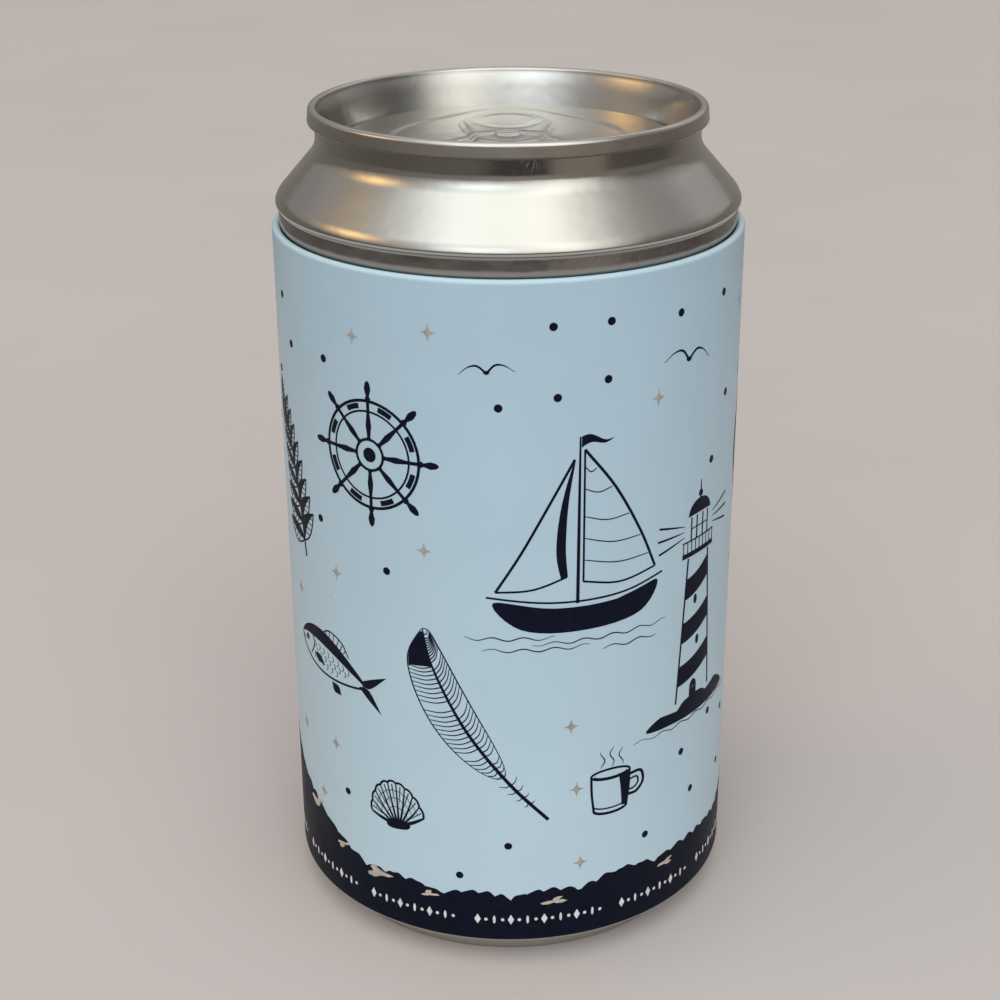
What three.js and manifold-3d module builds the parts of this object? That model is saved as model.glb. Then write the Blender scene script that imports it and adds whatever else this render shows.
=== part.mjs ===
// Can-shaped storage tin: a printed tinplate body with a seamed base, closed by a
// lift-off plug lid that is shaped like the neck and end of a drinks can.
// Millimetres, +Z up, origin on the table under the middle of the base.

import * as THREE from "three";
import { mergeVertices } from "three/addons/utils/BufferGeometryUtils.js";
import Module from "manifold-3d";

const wasm = await Module();
wasm.setup();

// Driving dimensions
const bodyRadius = 33; // outside of the printed wall
const bodyTop = 103.1; // crest of the body's curl above the table
const sheet = 0.25; // tinplate
const clearance = 0.3; // gap between two sheets of a seam
const turnSteps = 40; // facets round every turned piece

// Body: curl, bottom corner, slanted underside and hook
const curlRadius = 0.6;
const wallFoot = 4.95; // the printed wall ends here, and its bottom corner begins
const bottomRounding = 1;
const undersideTilt = THREE.MathUtils.degToRad(15); // of the underside's slope from level
const hookFloorGap = 0.25; // free height under the body's cut edge, over the seam's clearance

// Base end: standing seam and panel
const seamInset = 4.1; // the base ring stands inside the printed wall
const footRounding = 0.5;
const basePanelLift = 3.4; // underside of the base panel above the table
const basePanelRounding = 0.6;
const baseBeadRadius = 21; // middle of the stiffening bead
const baseBeadWidth = 3.2;
const baseBeadHeight = 0.6;

// Lid shell: plug, seating band, groove, shoulder, cone and neck
const plugClearance = 0.35; // between the plug and the mouth of the curl
const plugDepth = 8; // below the crest of the body's curl
const leadIn = 1.2;
const leadInset = 0.4;
const bandStep = 0.45; // the band stands out from the plug and sits over the curl
const bandHeight = 1.75;
const bandRounding = 0.3;
const seatLift = 0.1; // the step's underside above the curl's crest
const stepRounding = 0.15;
const grooveRounding = 0.35;
const shoulderInset = 0.7; // the widest circle of the shoulder inside the printed wall
const shoulderUnderRounding = 0.6; // of its tight lower edge
const shoulderBend = THREE.MathUtils.degToRad(18); // slope from upright where that edge begins
const shoulderRounding = 3.2;
const coneTilt = THREE.MathUtils.degToRad(41.2); // of the cone's slope from upright
const neckRounding = 4;
const neckHeight = 2.07; // the neck's upright part
const flangeRounding = 0.3;

// Lid end: rim, chuck wall, countersink and panel
const rimInset = 4.8; // the rim inside the shoulder
const rimOverhang = 1; // the rim stands out from the neck
const rimWidth = 1.1; // across the crest
const rimRounding = 0.6;
const rimInnerRounding = 0.45;
const rimUnderRounding = 0.5;
const flangeLift = 0.75; // free height under the flange, inside the rim
const flangeHeadroom = 1.2; // and above it
const chuckLean = 1.3; // the chuck wall leans in by this from the flange's level down
const panelDrop = 4.9; // panel below the rim's crest
const panelRounding = 0.4;
const countersinkRounding = 0.55;
const countersinkDepth = 2.15; // below the panel

// Pressed relief of the panel: each form is two circles on the Y axis joined by their
// tangents, in shares of the panel's radius
const recessDepth = 0.2;
const mouthHeight = 0.2;
const tabHeight = 0.45;
const rivetHeight = 0.35;
const recessShares = { frontY: 0, frontRadius: 0.73, backY: 0.56, backRadius: 0.345 };
const mouthShares = { frontY: -0.4, frontRadius: 0.24, backY: -0.275, backRadius: 0.3 };
const tabShares = { frontY: -0.07, frontRadius: 0.223, backY: 0.412, backRadius: 0.309 };
const ringShares = { frontY: 0.386, frontRadius: 0.146, backY: 0.472, backRadius: 0.189 };
const rivetShares = { frontY: 0, frontRadius: 0.099, backY: 0.017, backRadius: 0.099 };
const reliefSteps = 8;

// Shares of the sheet under which two points are one
const weldShare = 0.001;
const skipShare = 0.01;

// Radii and levels of the body and the base that follow from the sizes above
const mouthRadius = bodyRadius - 2 * curlRadius;
const seamRadius = bodyRadius - seamInset;
const hookRadius = seamRadius - sheet - clearance;
const baseChuckRadius = hookRadius - 2 * sheet - clearance;
const cornerEnd = new THREE.Vector2(
  bodyRadius - bottomRounding * (1 - Math.sin(undersideTilt)),
  wallFoot - bottomRounding * Math.cos(undersideTilt),
);
const undersideDrop = (cornerEnd.x - hookRadius - clearance) * Math.tan(undersideTilt);
const seamHeight = cornerEnd.y - undersideDrop - clearance / Math.cos(undersideTilt);
const hookEnd = sheet + clearance + hookFloorGap;

// Radii of the lid
const plugRadius = mouthRadius - plugClearance;
const bandRadius = plugRadius + bandStep;
const shoulderRadius = bodyRadius - shoulderInset;
const rimRadius = shoulderRadius - rimInset;
const neckRadius = rimRadius - rimOverhang;
const flangeRadius = rimRadius - sheet - clearance;
const lipRadius = neckRadius + clearance;
const crestRadius = rimRadius - rimWidth;
const chuckRadius = neckRadius - 2 * sheet - clearance;
const panelRadius = chuckRadius - chuckLean - 2 * countersinkRounding;

// Levels of the lid, from the seat upwards
const plugEnd = bodyTop - plugDepth;
const stepUnderside = bodyTop + seatLift;
const bandTop = stepUnderside + bandHeight;
const shoulderMiddle = bandTop + 2 * grooveRounding + shoulderUnderRounding;
const shoulderStep = shoulderRounding - shoulderUnderRounding;
const shoulderArc = new THREE.Vector2(
  shoulderRadius - shoulderUnderRounding - shoulderStep * Math.cos(shoulderBend),
  shoulderMiddle - shoulderStep * Math.sin(shoulderBend),
);
const coneFoot = new THREE.Vector2(
  shoulderArc.x + shoulderRounding * Math.cos(coneTilt),
  shoulderArc.y + shoulderRounding * Math.sin(coneTilt),
);
const coneTop = coneFoot.y + (coneFoot.x - neckRadius) / Math.tan(coneTilt);
const neckFoot = coneTop + neckRounding * Math.tan(coneTilt / 2);
const flangeUnderside = neckFoot + neckHeight + flangeRounding;
const rimUnderside = flangeUnderside - flangeLift - sheet;
const rimCrest = flangeUnderside + sheet + flangeHeadroom + sheet;
const panelLevel = rimCrest - panelDrop;
const countersinkMiddle = panelLevel - countersinkDepth + countersinkRounding;

// Points of an arc about (r, z), from one angle to another in quarter turns
function arc(r, z, radius, from, to, steps) {
  const quarter = Math.PI / 2;
  return Array.from({ length: steps + 1 }, (_, i) => {
    const angle = (from + ((to - from) * i) / steps) * quarter;
    return new THREE.Vector2(r + radius * Math.cos(angle), z + radius * Math.sin(angle));
  });
}

const at = (r, z) => new THREE.Vector2(r, z);

// Closed section of a sheet whose skin is the path, with the metal on the path's right,
// or on its left where side is -1
function sheetSection(path, side = 1) {
  const skin = path.filter((p, i) => i === 0 || p.distanceTo(path[i - 1]) > skipShare * sheet);
  const sides = skin.slice(1).map((p, i) => {
    const run = p.clone().sub(skin[i]).normalize();
    return at(side * run.y, -side * run.x);
  });
  const back = skin.map((p, i) => {
    const before = sides[Math.max(i - 1, 0)];
    const after = sides[Math.min(i, sides.length - 1)];
    const mitre = before.clone().add(after).normalize();
    return p.clone().addScaledVector(mitre, sheet / mitre.dot(after));
  });
  const [near, far] = side > 0 ? [skin, back] : [back, skin];
  return [...near, ...far.reverse(), near[0].clone()];
}

function turned(section) {
  const onAxis = section[0].x === 0;
  const profile = onAxis ? section.slice(0, -1) : section;
  const geometry = new THREE.LatheGeometry(profile.reverse(), turnSteps);
  return geometry.rotateX(Math.PI / 2);
}

// Rolled and curled body wall with its bottom edge necked in to the base seam
function bodyShell() {
  const curlLevel = bodyTop - curlRadius;
  const tilt = undersideTilt / (Math.PI / 2);
  return turned(sheetSection([
    ...arc(bodyRadius - curlRadius, curlLevel, curlRadius, 3, 0, 9),
    ...arc(bodyRadius - bottomRounding, wallFoot, bottomRounding, 0, tilt - 1, 4),
    ...arc(hookRadius + clearance, seamHeight, clearance, 1 + tilt, 2, 2),
    at(hookRadius, hookEnd),
  ]));
}

// Base end: the seam's outer wall, the foot that the tin stands on and the raised panel
function baseEnd() {
  const foot = footRounding;
  const beadHalf = baseBeadWidth / 2;
  return turned(sheetSection([
    at(0, basePanelLift),
    at(baseBeadRadius - beadHalf, basePanelLift),
    at(baseBeadRadius - beadHalf / 2, basePanelLift + baseBeadHeight),
    at(baseBeadRadius + beadHalf / 2, basePanelLift + baseBeadHeight),
    at(baseBeadRadius + beadHalf, basePanelLift),
    ...arc(baseChuckRadius - basePanelRounding, basePanelLift - basePanelRounding,
      basePanelRounding, 1, 0, 3),
    ...arc(baseChuckRadius + foot, foot, foot, 2, 3, 3),
    ...arc(seamRadius - foot, foot, foot, 3, 4, 3),
    at(seamRadius, seamHeight),
  ], -1));
}

// Flange, neck, cone, shoulder, groove, seating band and plug
function lidShell() {
  const slope = coneTilt / (Math.PI / 2);
  const bend = shoulderBend / (Math.PI / 2);
  const bandMiddle = bandRadius - bandRounding;
  return turned(sheetSection([
    at(flangeRadius, flangeUnderside),
    ...arc(neckRadius + flangeRounding, flangeUnderside - flangeRounding, flangeRounding, 1, 2, 2),
    ...arc(neckRadius + neckRounding, neckFoot, neckRounding, 2, 2 + slope, 4),
    ...arc(shoulderArc.x, shoulderArc.y, shoulderRounding, slope, bend, 4),
    ...arc(shoulderRadius - shoulderUnderRounding, shoulderMiddle, shoulderUnderRounding, bend, -1, 4),
    ...arc(bandMiddle, bandTop + grooveRounding, grooveRounding, 1, 3, 4),
    ...arc(bandMiddle, bandTop - bandRounding, bandRounding, 1, 0, 2),
    ...arc(bandMiddle, stepUnderside + bandRounding, bandRounding, 0, -1, 2),
    ...arc(plugRadius + stepRounding, stepUnderside - stepRounding, stepRounding, 1, 2, 2),
    at(plugRadius, plugEnd + leadIn),
    at(plugRadius - leadInset, plugEnd),
  ]));
}

// Outline round a form's two circles, drawn in by an inset
function reliefOutline(shares, inset) {
  const front = shares.frontRadius * panelRadius - inset;
  const back = shares.backRadius * panelRadius - inset;
  const frontY = shares.frontY * panelRadius;
  const backY = shares.backY * panelRadius;
  const lean = Math.asin((front - back) / (backY - frontY));
  const outline = new THREE.Shape();
  outline.absarc(0, backY, back, lean, Math.PI - lean, false);
  outline.absarc(0, frontY, front, Math.PI - lean, 2 * Math.PI + lean, false);
  return outline;
}

function prism(shares, inset, low, high) {
  const shape = reliefOutline(shares, inset);
  const settings = { depth: high - low, bevelEnabled: false, curveSegments: reliefSteps };
  return solid(new THREE.ExtrudeGeometry(shape, settings).translate(0, 0, low));
}

function solid(geometry) {
  const bare = geometry.clone();
  bare.deleteAttribute("normal");
  bare.deleteAttribute("uv");
  const merged = mergeVertices(bare, weldShare * sheet);
  return new wasm.Manifold(new wasm.Mesh({
    numProp: 3,
    vertProperties: new Float32Array(merged.attributes.position.array),
    triVerts: new Uint32Array(merged.index.array),
  }));
}

function geometryOf(body) {
  const mesh = body.getMesh();
  const geometry = new THREE.BufferGeometry();
  geometry.setAttribute("position", new THREE.BufferAttribute(mesh.vertProperties, 3));
  geometry.setIndex(new THREE.BufferAttribute(mesh.triVerts, 1));
  return geometry;
}

// The sheet whose top is at the given level, pressed up inside the form
function pressedUp(body, shares, level, height) {
  const under = level - sheet;
  return body
    .add(prism(shares, 0, under, level + height))
    .subtract(prism(shares, sheet, under - clearance, under + height));
}

// The sheet whose top is at the given level, pressed down inside the form
function pressedDown(body, shares, level, depth) {
  const under = level - sheet;
  return body
    .add(prism(shares, 0, under - depth, level))
    .subtract(prism(shares, sheet, level - depth, level + clearance));
}

// Turned end with its rim folded over the neck's flange, before the panel is pressed
function plainEnd() {
  const inner = rimInnerRounding;
  const under = rimUnderRounding;
  const trough = countersinkRounding;
  return turned(sheetSection([
    at(0, panelLevel),
    ...arc(panelRadius - panelRounding, panelLevel - panelRounding, panelRounding, 1, 0, 2),
    ...arc(panelRadius + trough, countersinkMiddle, trough, 2, 4, 4),
    at(chuckRadius, flangeUnderside),
    ...arc(crestRadius + inner, rimCrest - inner, inner, 2, 1, 3),
    ...arc(rimRadius - rimRounding, rimCrest - rimRounding, rimRounding, 1, 0, 3),
    ...arc(rimRadius - under, rimUnderside + under, under, 0, -1, 3),
    at(lipRadius, rimUnderside),
  ]));
}

// Recess, mouth, pull tab with its finger ring, and rivet, all pressed in the one sheet
function lidEnd() {
  const floor = panelLevel - recessDepth;
  const tabLevel = floor + tabHeight;
  let end = solid(plainEnd());
  end = pressedDown(end, recessShares, panelLevel, recessDepth);
  end = pressedUp(end, mouthShares, floor, mouthHeight);
  end = pressedUp(end, tabShares, floor, tabHeight);
  end = pressedDown(end, ringShares, tabLevel, tabHeight);
  end = pressedUp(end, rivetShares, tabLevel, rivetHeight);
  return geometryOf(end);
}

function piece(name, geometry, color, roughness, metalness) {
  const material = new THREE.MeshStandardMaterial({ color, roughness, metalness });
  const mesh = new THREE.Mesh(geometry, material);
  mesh.name = name;
  return mesh;
}

const can = new THREE.Group();
can.add(
  piece("body_shell", bodyShell(), 0xa9bfcb, 0.4, 0),
  piece("base_end", baseEnd(), 0xb9bab3, 0.3, 1),
  piece("lid_shell", lidShell(), 0xc4c3bb, 0.25, 1),
  piece("lid_end", lidEnd(), 0xb7b4ac, 0.3, 1),
);

export default can;
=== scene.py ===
"""Printed storage tin with a plug lid that is shaped like the neck and end of a can.

Run as a script in Blender 4.5. Metres, +Z up, front towards -Y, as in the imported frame.
"""

import math

import bmesh
import bpy
import numpy as np
from bpy.props import FloatProperty, FloatVectorProperty, IntProperty, PointerProperty
from mathutils import Euler, Matrix, Vector


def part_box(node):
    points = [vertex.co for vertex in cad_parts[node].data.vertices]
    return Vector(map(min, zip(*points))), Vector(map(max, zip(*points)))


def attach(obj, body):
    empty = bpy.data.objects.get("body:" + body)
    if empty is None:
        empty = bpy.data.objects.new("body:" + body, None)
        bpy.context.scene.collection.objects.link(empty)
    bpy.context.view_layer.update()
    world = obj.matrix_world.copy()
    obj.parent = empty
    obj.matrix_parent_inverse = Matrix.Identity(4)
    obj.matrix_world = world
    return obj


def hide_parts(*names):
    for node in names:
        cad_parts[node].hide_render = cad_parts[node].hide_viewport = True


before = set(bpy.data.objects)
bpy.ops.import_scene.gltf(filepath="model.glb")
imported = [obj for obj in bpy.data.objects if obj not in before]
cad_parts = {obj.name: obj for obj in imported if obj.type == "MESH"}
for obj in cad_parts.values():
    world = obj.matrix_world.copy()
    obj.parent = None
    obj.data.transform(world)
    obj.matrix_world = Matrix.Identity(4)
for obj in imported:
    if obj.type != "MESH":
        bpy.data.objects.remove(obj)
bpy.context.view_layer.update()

bl_info = {
    "name": "Printed storage tin",
    "version": (1, 0, 0),
    "blender": (4, 5, 0),
    "location": "View3D > Sidebar > Tin",
    "description": "Builds a printed tin with a plug lid shaped like a can's neck and end",
    "category": "Add Mesh",
}

BODY_LOW, BODY_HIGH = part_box("body_shell")
BASE_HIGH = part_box("base_end")[1]
SHELL_LOW, SHELL_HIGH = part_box("lid_shell")
END_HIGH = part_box("lid_end")[1]

TURN = 2 * math.pi
QUARTER = math.pi / 2
TOUCH = 1e-7  # points closer than this are one
SHARP_DEGREES = 38  # an edge that bends by more than this is shaded sharp
LONG_RUN_HOLDS = 4  # a straight run is long when it is longer than this many holds
FAR_MARGIN = 1.3  # unprinted tinplate on the far side of the lap's edge, in margins


def length(name, description, default):
    """Property for a length in metres."""
    return FloatProperty(
        name=name, description=description, default=default, min=0, precision=5, unit="LENGTH",
        subtype="DISTANCE",
    )


def angle(name, description, degrees):
    """Property for an angle."""
    return FloatProperty(name=name, description=description, default=math.radians(degrees), subtype="ANGLE")


def whole(name, description, default, least, most):
    """Property for a whole number."""
    return IntProperty(name=name, description=description, default=default, min=least, max=most)


def colour(name, description, default):
    """Property for a linear colour."""
    return FloatVectorProperty(
        name=name, description=description, default=default, min=0, max=1, size=3, subtype="COLOR"
    )


class SheetSizes(bpy.types.PropertyGroup):
    """Sizes that the body, the base and the lid have in common."""

    sheet: length("Sheet", "Thickness of the tinplate", 0.00025)
    clearance: length("Clearance", "Gap between two sheets of a seam", 0.0003)
    turns: whole("Turns", "Steps round every turned piece", 288, 48, 512)
    hold: length("Hold", "How close to each end of a straight run an extra row lies", 0.00012)


class BodySizes(bpy.types.PropertyGroup):
    """Printed wall and base end."""

    radius: length("Radius", "Outside of the printed wall", BODY_HIGH.x)
    top: length("Top", "Crest of the wall's curl", BODY_HIGH.z)
    hook_end: length("Hook end", "Lower cut edge of the wall, inside the base seam", BODY_LOW.z)
    curl: length("Curl", "Radius of the curl", 0.0006)
    wall_foot: length("Wall foot", "Where the wall ends and its bottom corner begins", 0.00495)
    corner: length("Corner", "Rounding of the bottom corner", 0.001)
    underside_tilt: angle("Underside tilt", "Slope of the underside from level", 15)
    lap_width: length("Lap", "Width over which the side lap's lower sheet rises again", 0.004)
    margin: length("Margin", "Unprinted tinplate beside the side lap", 0.0009)
    print_end: length("Print end", "Lowest printed level on the bottom corner", 0.00466)
    seam_radius: length("Seam radius", "Outside of the standing base ring", BASE_HIGH.x)
    foot: length("Foot", "Rounding of the foot that the tin stands on", 0.0006)
    panel_lift: length("Panel lift", "Underside of the base panel", 0.0034)
    panel_rounding: length("Panel rounding", "Edge of the base panel", 0.0006)
    bead_radius: length("Bead radius", "Middle of the stiffening bead", 0.021)
    bead_width: length("Bead width", "Foot of the stiffening bead", 0.0032)
    bead_height: length("Bead height", "Rise of the stiffening bead", 0.0006)


class LidSizes(bpy.types.PropertyGroup):
    """Plug, band, shoulder, cone and neck, and the end that is folded over the neck."""

    plug_end: length("Plug end", "Lower cut edge of the plug", SHELL_LOW.z)
    plug_clearance: length("Plug clearance", "Between the plug and the curl's mouth", 0.00035)
    lead_in: length("Lead-in", "Height of the tapered end of the plug", 0.0012)
    lead_inset: length("Lead-in inset", "How far the plug's end is drawn in", 0.0004)
    band_step: length("Band step", "How far the seating band stands out from the plug", 0.00045)
    band_rounding: length("Band rounding", "How far the band's lower edge draws in", 0.0003)
    band_draw: length("Band draw", "Height over which the band's lower edge draws in", 0.00115)
    seat_drop: length("Seat drop", "Underside of the step below the curl's crest, inside the mouth", 0.00025)
    step_rounding: length("Step rounding", "Inner corner of the step", 0.00012)
    hollow: length("Hollow", "Rounding between the shoulder's lower edge and the band", 0.0005)
    shoulder_radius: length("Shoulder radius", "Widest circle of the lid", SHELL_HIGH.x)
    shoulder_lift: length("Shoulder lift", "Widest circle over the curl's crest", 0.00315)
    shoulder_under: length("Under the shoulder", "Tight rounding of the shoulder's lower edge", 0.0006)
    shoulder_bend: angle("Shoulder bend", "Slope from upright where the lower edge begins", 18)
    shoulder_rounding: length("Shoulder rounding", "Rounding over the shoulder", 0.0032)
    cone_tilt: angle("Cone tilt", "Slope of the cone from upright", 41.2)
    neck_rounding: length("Neck rounding", "Hollow between the cone and the neck", 0.004)
    neck_inset: length("Neck inset", "How far the neck stands inside the rim", 0.001)
    flange_top: length("Flange top", "Level of the neck's flange", SHELL_HIGH.z)
    flange: length("Flange", "Rounding under the neck's flange", 0.0003)
    rim_radius: length("Rim radius", "Outside of the rim", END_HIGH.x)
    rim_crest: length("Rim crest", "Top of the rim", END_HIGH.z)
    rim_width: length("Rim width", "Across the rim's crest", 0.0013)
    rim_rounding: length("Rim rounding", "Outer edge of the rim's crest", 0.0006)
    rim_inner: length("Inner rim rounding", "Inner edge of the rim's crest", 0.00045)
    rim_under: length("Under the rim", "Rounding under the rim", 0.00027)
    rim_height: length("Rim height", "From the rim's underside to its crest", 0.0022)
    rim_lean: angle("Rim lean", "Slope of the rim's outer face from upright", 4.5)
    chuck_lean: length("Chuck lean", "How far the chuck wall leans in below the flange", 0.0013)
    chuck_bend: length("Chuck bend", "Reach of the bend where the chuck wall flares to the rim", 0.0009)
    panel_drop: length("Panel drop", "Panel below the rim's crest", 0.0049)
    panel_rounding: length("Panel rounding", "Edge of the panel", 0.0004)
    trough: length("Trough", "Rounding of the countersink", 0.00055)
    trough_depth: length("Trough depth", "Countersink below the panel", 0.00215)


class ReliefSizes(bpy.types.PropertyGroup):
    """Relief that is pressed in the lid's panel."""

    wall: length("Wall", "Width of a pressed step", 0.0009)
    recess: length("Recess", "Depth of the panel's recess", 0.0002)
    mouth: length("Mouth", "Rise of the false mouth", 0.0002)
    tab: length("Tab", "Rise of the pull tab", 0.00045)
    ring: length("Ring", "Depth of the finger ring in the tab", 0.0001)
    tab_bead: length("Tab bead", "Rise of the tab's rolled edge", 0.00004)
    rivet: length("Rivet", "Rise of the rivet", 0.00035)
    score: length("Score", "Depth of the line round the mouth", 0.0001)
    ring_step: length("Ring step", "Distance between two rings of the panel's mesh", 0.0003)
    middle: length("Middle", "Where the rings meet, behind the axis", 0.005)


class PrintSizes(bpy.types.PropertyGroup):
    """Inks on the wall."""

    ink: length("Ink", "Thickness of one layer of ink", 0.00003)
    sink: length("Sink", "How far a layer reaches into what is under it", 0.00002)
    pen: length("Pen", "Width of a plain line", 0.00028)
    dot: length("Dot", "Radius of a scattered dot", 0.00056)
    star: length("Star", "Longest reach of a scattered star", 0.0012)
    spare: length("Spare", "Free space round a picture, a dot or a star", 0.0022)
    marks: whole("Marks", "Scattered dots and stars", 92, 0, 300)
    seed: whole("Seed", "Draw of the scattered marks and the flecks", 11, 0, 1000)
    ornament_level: length("Ornament level", "Middle of the row of small ornaments", 0.0081)
    ornament_pitch: length("Ornament pitch", "From one ornament to the next", 0.0012)
    ornament: length("Ornament", "Height of a lozenge in the row", 0.0017)
    band_foot: length("Band foot", "Mean level of the dark band's upper edge, hills aside", 0.0113)


class Colours(bpy.types.PropertyGroup):
    """Inks and metals."""

    ground: colour("Ground", "Light blue ground of the print", (0.362, 0.503, 0.605))
    # The worn tone is also laid over the whole crest of the curl as a painted highlight.
    worn: colour("Worn", "The ground where its edges are rubbed thin", (0.62, 0.77, 0.84))
    navy: colour("Navy", "Dark ink", (0.004, 0.006, 0.015))
    stone: colour("Stone", "Warm grey ink", (0.3, 0.29, 0.27))
    sand: colour("Sand", "Light brown ink", (0.44, 0.39, 0.34))
    white: colour("White", "Off-white ink", (0.62, 0.6, 0.63))
    tin: colour("Tin", "Bare tinplate", (0.58, 0.565, 0.53))
    dull_tin: colour("Dull tin", "Tinplate of the base and the inside", (0.5, 0.49, 0.455))
    floor: colour("Floor", "Plain floor", (0.535, 0.492, 0.483))
    card: colour("Card", "Warm grey card that only reflections show, at its lightest", (0.88, 0.84, 0.78))


class StageSizes(bpy.types.PropertyGroup):
    """Floor, lamps and camera."""

    floor_half: length("Floor", "Half the floor's width", 12.0)
    room: colour("Room", "Plain light from everywhere", (0.3, 0.283, 0.277))
    fill: FloatProperty(name="Fill", description="Power of the fill lamp, in watts", default=7.4, min=0)
    fill_size: length("Fill size", "Width and height of the fill lamp", 1.2)
    fill_far: length("Fill distance", "From the lid to the fill lamp", 1.5)
    fill_rise: angle("Fill rise", "Fill lamp above the level", 35)
    fill_turn: angle("Fill turn", "Fill lamp to the right of the front", -4)
    card_far: length("Card distance", "From the axis to the card that rings the tin", 0.35)
    card_low: length("Card foot", "Lower edge of the card", 0.003)
    card_high: length("Card top", "Upper edge of the card", 0.175)
    view_back: length("Camera distance", "Camera before the axis", 0.25128)
    view_up: length("Camera height", "Camera above the floor", 0.16671)
    view_drop: angle("Camera drop", "How far the camera looks down", 23.07)
    view_turn: angle("Camera turn", "How far the camera looks to the right", -0.32)
    view_roll: angle("Camera roll", "How far the camera leans", -0.34)
    lens: FloatProperty(
        name="Lens", description="Focal length on a 36 mm frame", default=65.83, subtype="DISTANCE_CAMERA"
    )
    nearest: length("Nearest", "Nearest distance that the camera sees", 0.01)


def arc(r, z, radius, start, stop, steps=8):
    """Points of a circle about (r, z), from one angle to another in quarter turns."""
    way = np.linspace(start, stop, steps + 1) * QUARTER
    return np.column_stack([r + radius * np.cos(way), z + radius * np.sin(way)])


def at_ways(path, reach, ways):
    """Points of a path at ways from its start, where reach is the way to its own points."""
    return np.column_stack([np.interp(ways, reach, path[:, axis]) for axis in (0, 1)])


def held(path, hold):
    """The path with an extra point close to both ends of each long straight run, so that the
    shading of its roundings stays on them."""
    runs = np.hypot(*np.diff(path, axis=0).T)
    reach = np.concatenate([[0], np.cumsum(runs)])
    long = runs > LONG_RUN_HOLDS * hold
    extra = np.concatenate([reach[:-1][long] + hold, reach[1:][long] - hold])
    return at_ways(path, reach, np.sort(np.concatenate([reach, extra])))


def sheet_faces(scene, path, side=1):
    """Both faces of a sheet of tinplate: the held path, and the same set off by the sheet's
    thickness along the mean of the two runs' normals, run backwards. The metal is on the
    path's right, or on its left where side is -1."""
    sheet = scene.tin_sheet.sheet
    path = held(path, scene.tin_sheet.hold)
    runs = np.diff(path, axis=0)
    path = path[np.concatenate([[True], np.hypot(*runs.T) > TOUCH])]
    runs = np.diff(path, axis=0)
    normals = side * np.column_stack([runs[:, 1], -runs[:, 0]]) / np.hypot(*runs.T)[:, None]
    before = np.vstack([normals[:1], normals])
    after = np.vstack([normals, normals[-1:]])
    mitre = before + after
    mitre = mitre / np.hypot(*mitre.T)[:, None]
    back = path + mitre * sheet / (mitre * after).sum(axis=1)[:, None]
    return path, back[::-1]


def about_axis(r, angles, z):
    """Points about the axis: x = r sin(angle), y = -r cos(angle), z = z."""
    return np.stack([r * np.sin(angles), -r * np.cos(angles), z + 0 * angles], axis=-1)


def turned(section, angles):
    """A section of radii and levels carried round the axis."""
    return about_axis(section[:, 0, None], angles, section[:, 1, None])


def even_angles(turns):
    """Angles of even steps once round."""
    return np.arange(turns) * TURN / turns


def grid_faces(rows, columns, looped):
    """Quads of a grid whose columns wrap round, and whose rows do too where it is looped."""
    index = np.arange(rows * columns).reshape(rows, columns)
    if looped:
        index = np.vstack([index, index[:1]])
    near, far = index[:-1], index[1:]
    quads = np.stack([near, far, np.roll(far, -1, axis=1), np.roll(near, -1, axis=1)], axis=-1)
    return quads.reshape(-1, 4)


def make_mesh(name, grids, looped=False, slots=None, values=None):
    """One mesh of closed skins. Rows that shrink to a point are merged there, and every face is
    then turned outwards. Slots are material numbers of the faces, and values name a number
    for each vertex."""
    points = np.concatenate([grid.reshape(-1, 3) for grid in grids])
    sizes = [grid.shape[0] * grid.shape[1] for grid in grids]
    starts = np.concatenate([[0], np.cumsum(sizes)[:-1]])
    faces = [grid_faces(*grid.shape[:2], looped) + start for grid, start in zip(grids, starts)]
    quads = np.concatenate(faces)
    mesh = bpy.data.meshes.new(name)
    mesh.vertices.add(len(points))
    mesh.vertices.foreach_set("co", points.astype(np.float32).ravel())
    mesh.loops.add(quads.size)
    mesh.loops.foreach_set("vertex_index", quads.ravel().astype(np.int32))
    mesh.polygons.add(len(quads))
    mesh.polygons.foreach_set("loop_start", np.arange(0, quads.size, 4, dtype=np.int32))
    if slots is not None:
        mesh.polygons.foreach_set("material_index", slots.astype(np.int32))
    mesh.update(calc_edges=True)
    for key, numbers in (values or {}).items():
        attribute = mesh.attributes.new(key, "FLOAT", "POINT")
        attribute.data.foreach_set("value", numbers.astype(np.float32).ravel())
    shape = bmesh.new()
    shape.from_mesh(mesh)
    bmesh.ops.remove_doubles(shape, verts=shape.verts, dist=TOUCH)
    bmesh.ops.recalc_face_normals(shape, faces=shape.faces)
    shape.to_mesh(mesh)
    shape.free()
    return mesh


def make_piece(mesh, materials, body, replaced=()):
    """The object of a mesh, under the mesh's name and in the named materials, that rides on a
    body of the frame."""
    for material in materials:
        mesh.materials.append(bpy.data.materials[material])
    mesh.shade_smooth()
    mesh.set_sharp_from_angle(angle=math.radians(SHARP_DEGREES))
    piece = bpy.data.objects.new(mesh.name, mesh)
    bpy.context.scene.collection.objects.link(piece)
    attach(piece, body)
    for node in replaced:
        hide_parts(node)


def ease(value):
    """Smooth step from 0 to 1: 3 v squared less 2 v cubed."""
    value = np.clip(value, 0, 1)
    return value * value * (3 - 2 * value)


def wall_radius(scene):
    """Outside of the wall's metal: two layers of ink fit between it and the body's radius."""
    return scene.tin_body.radius - 2 * scene.tin_print.ink


def hook_radius(scene):
    """Outside of the wall's hook, a clearance inside the seam's outer sheet."""
    common = scene.tin_sheet
    return scene.tin_body.seam_radius - common.sheet - common.clearance


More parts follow.
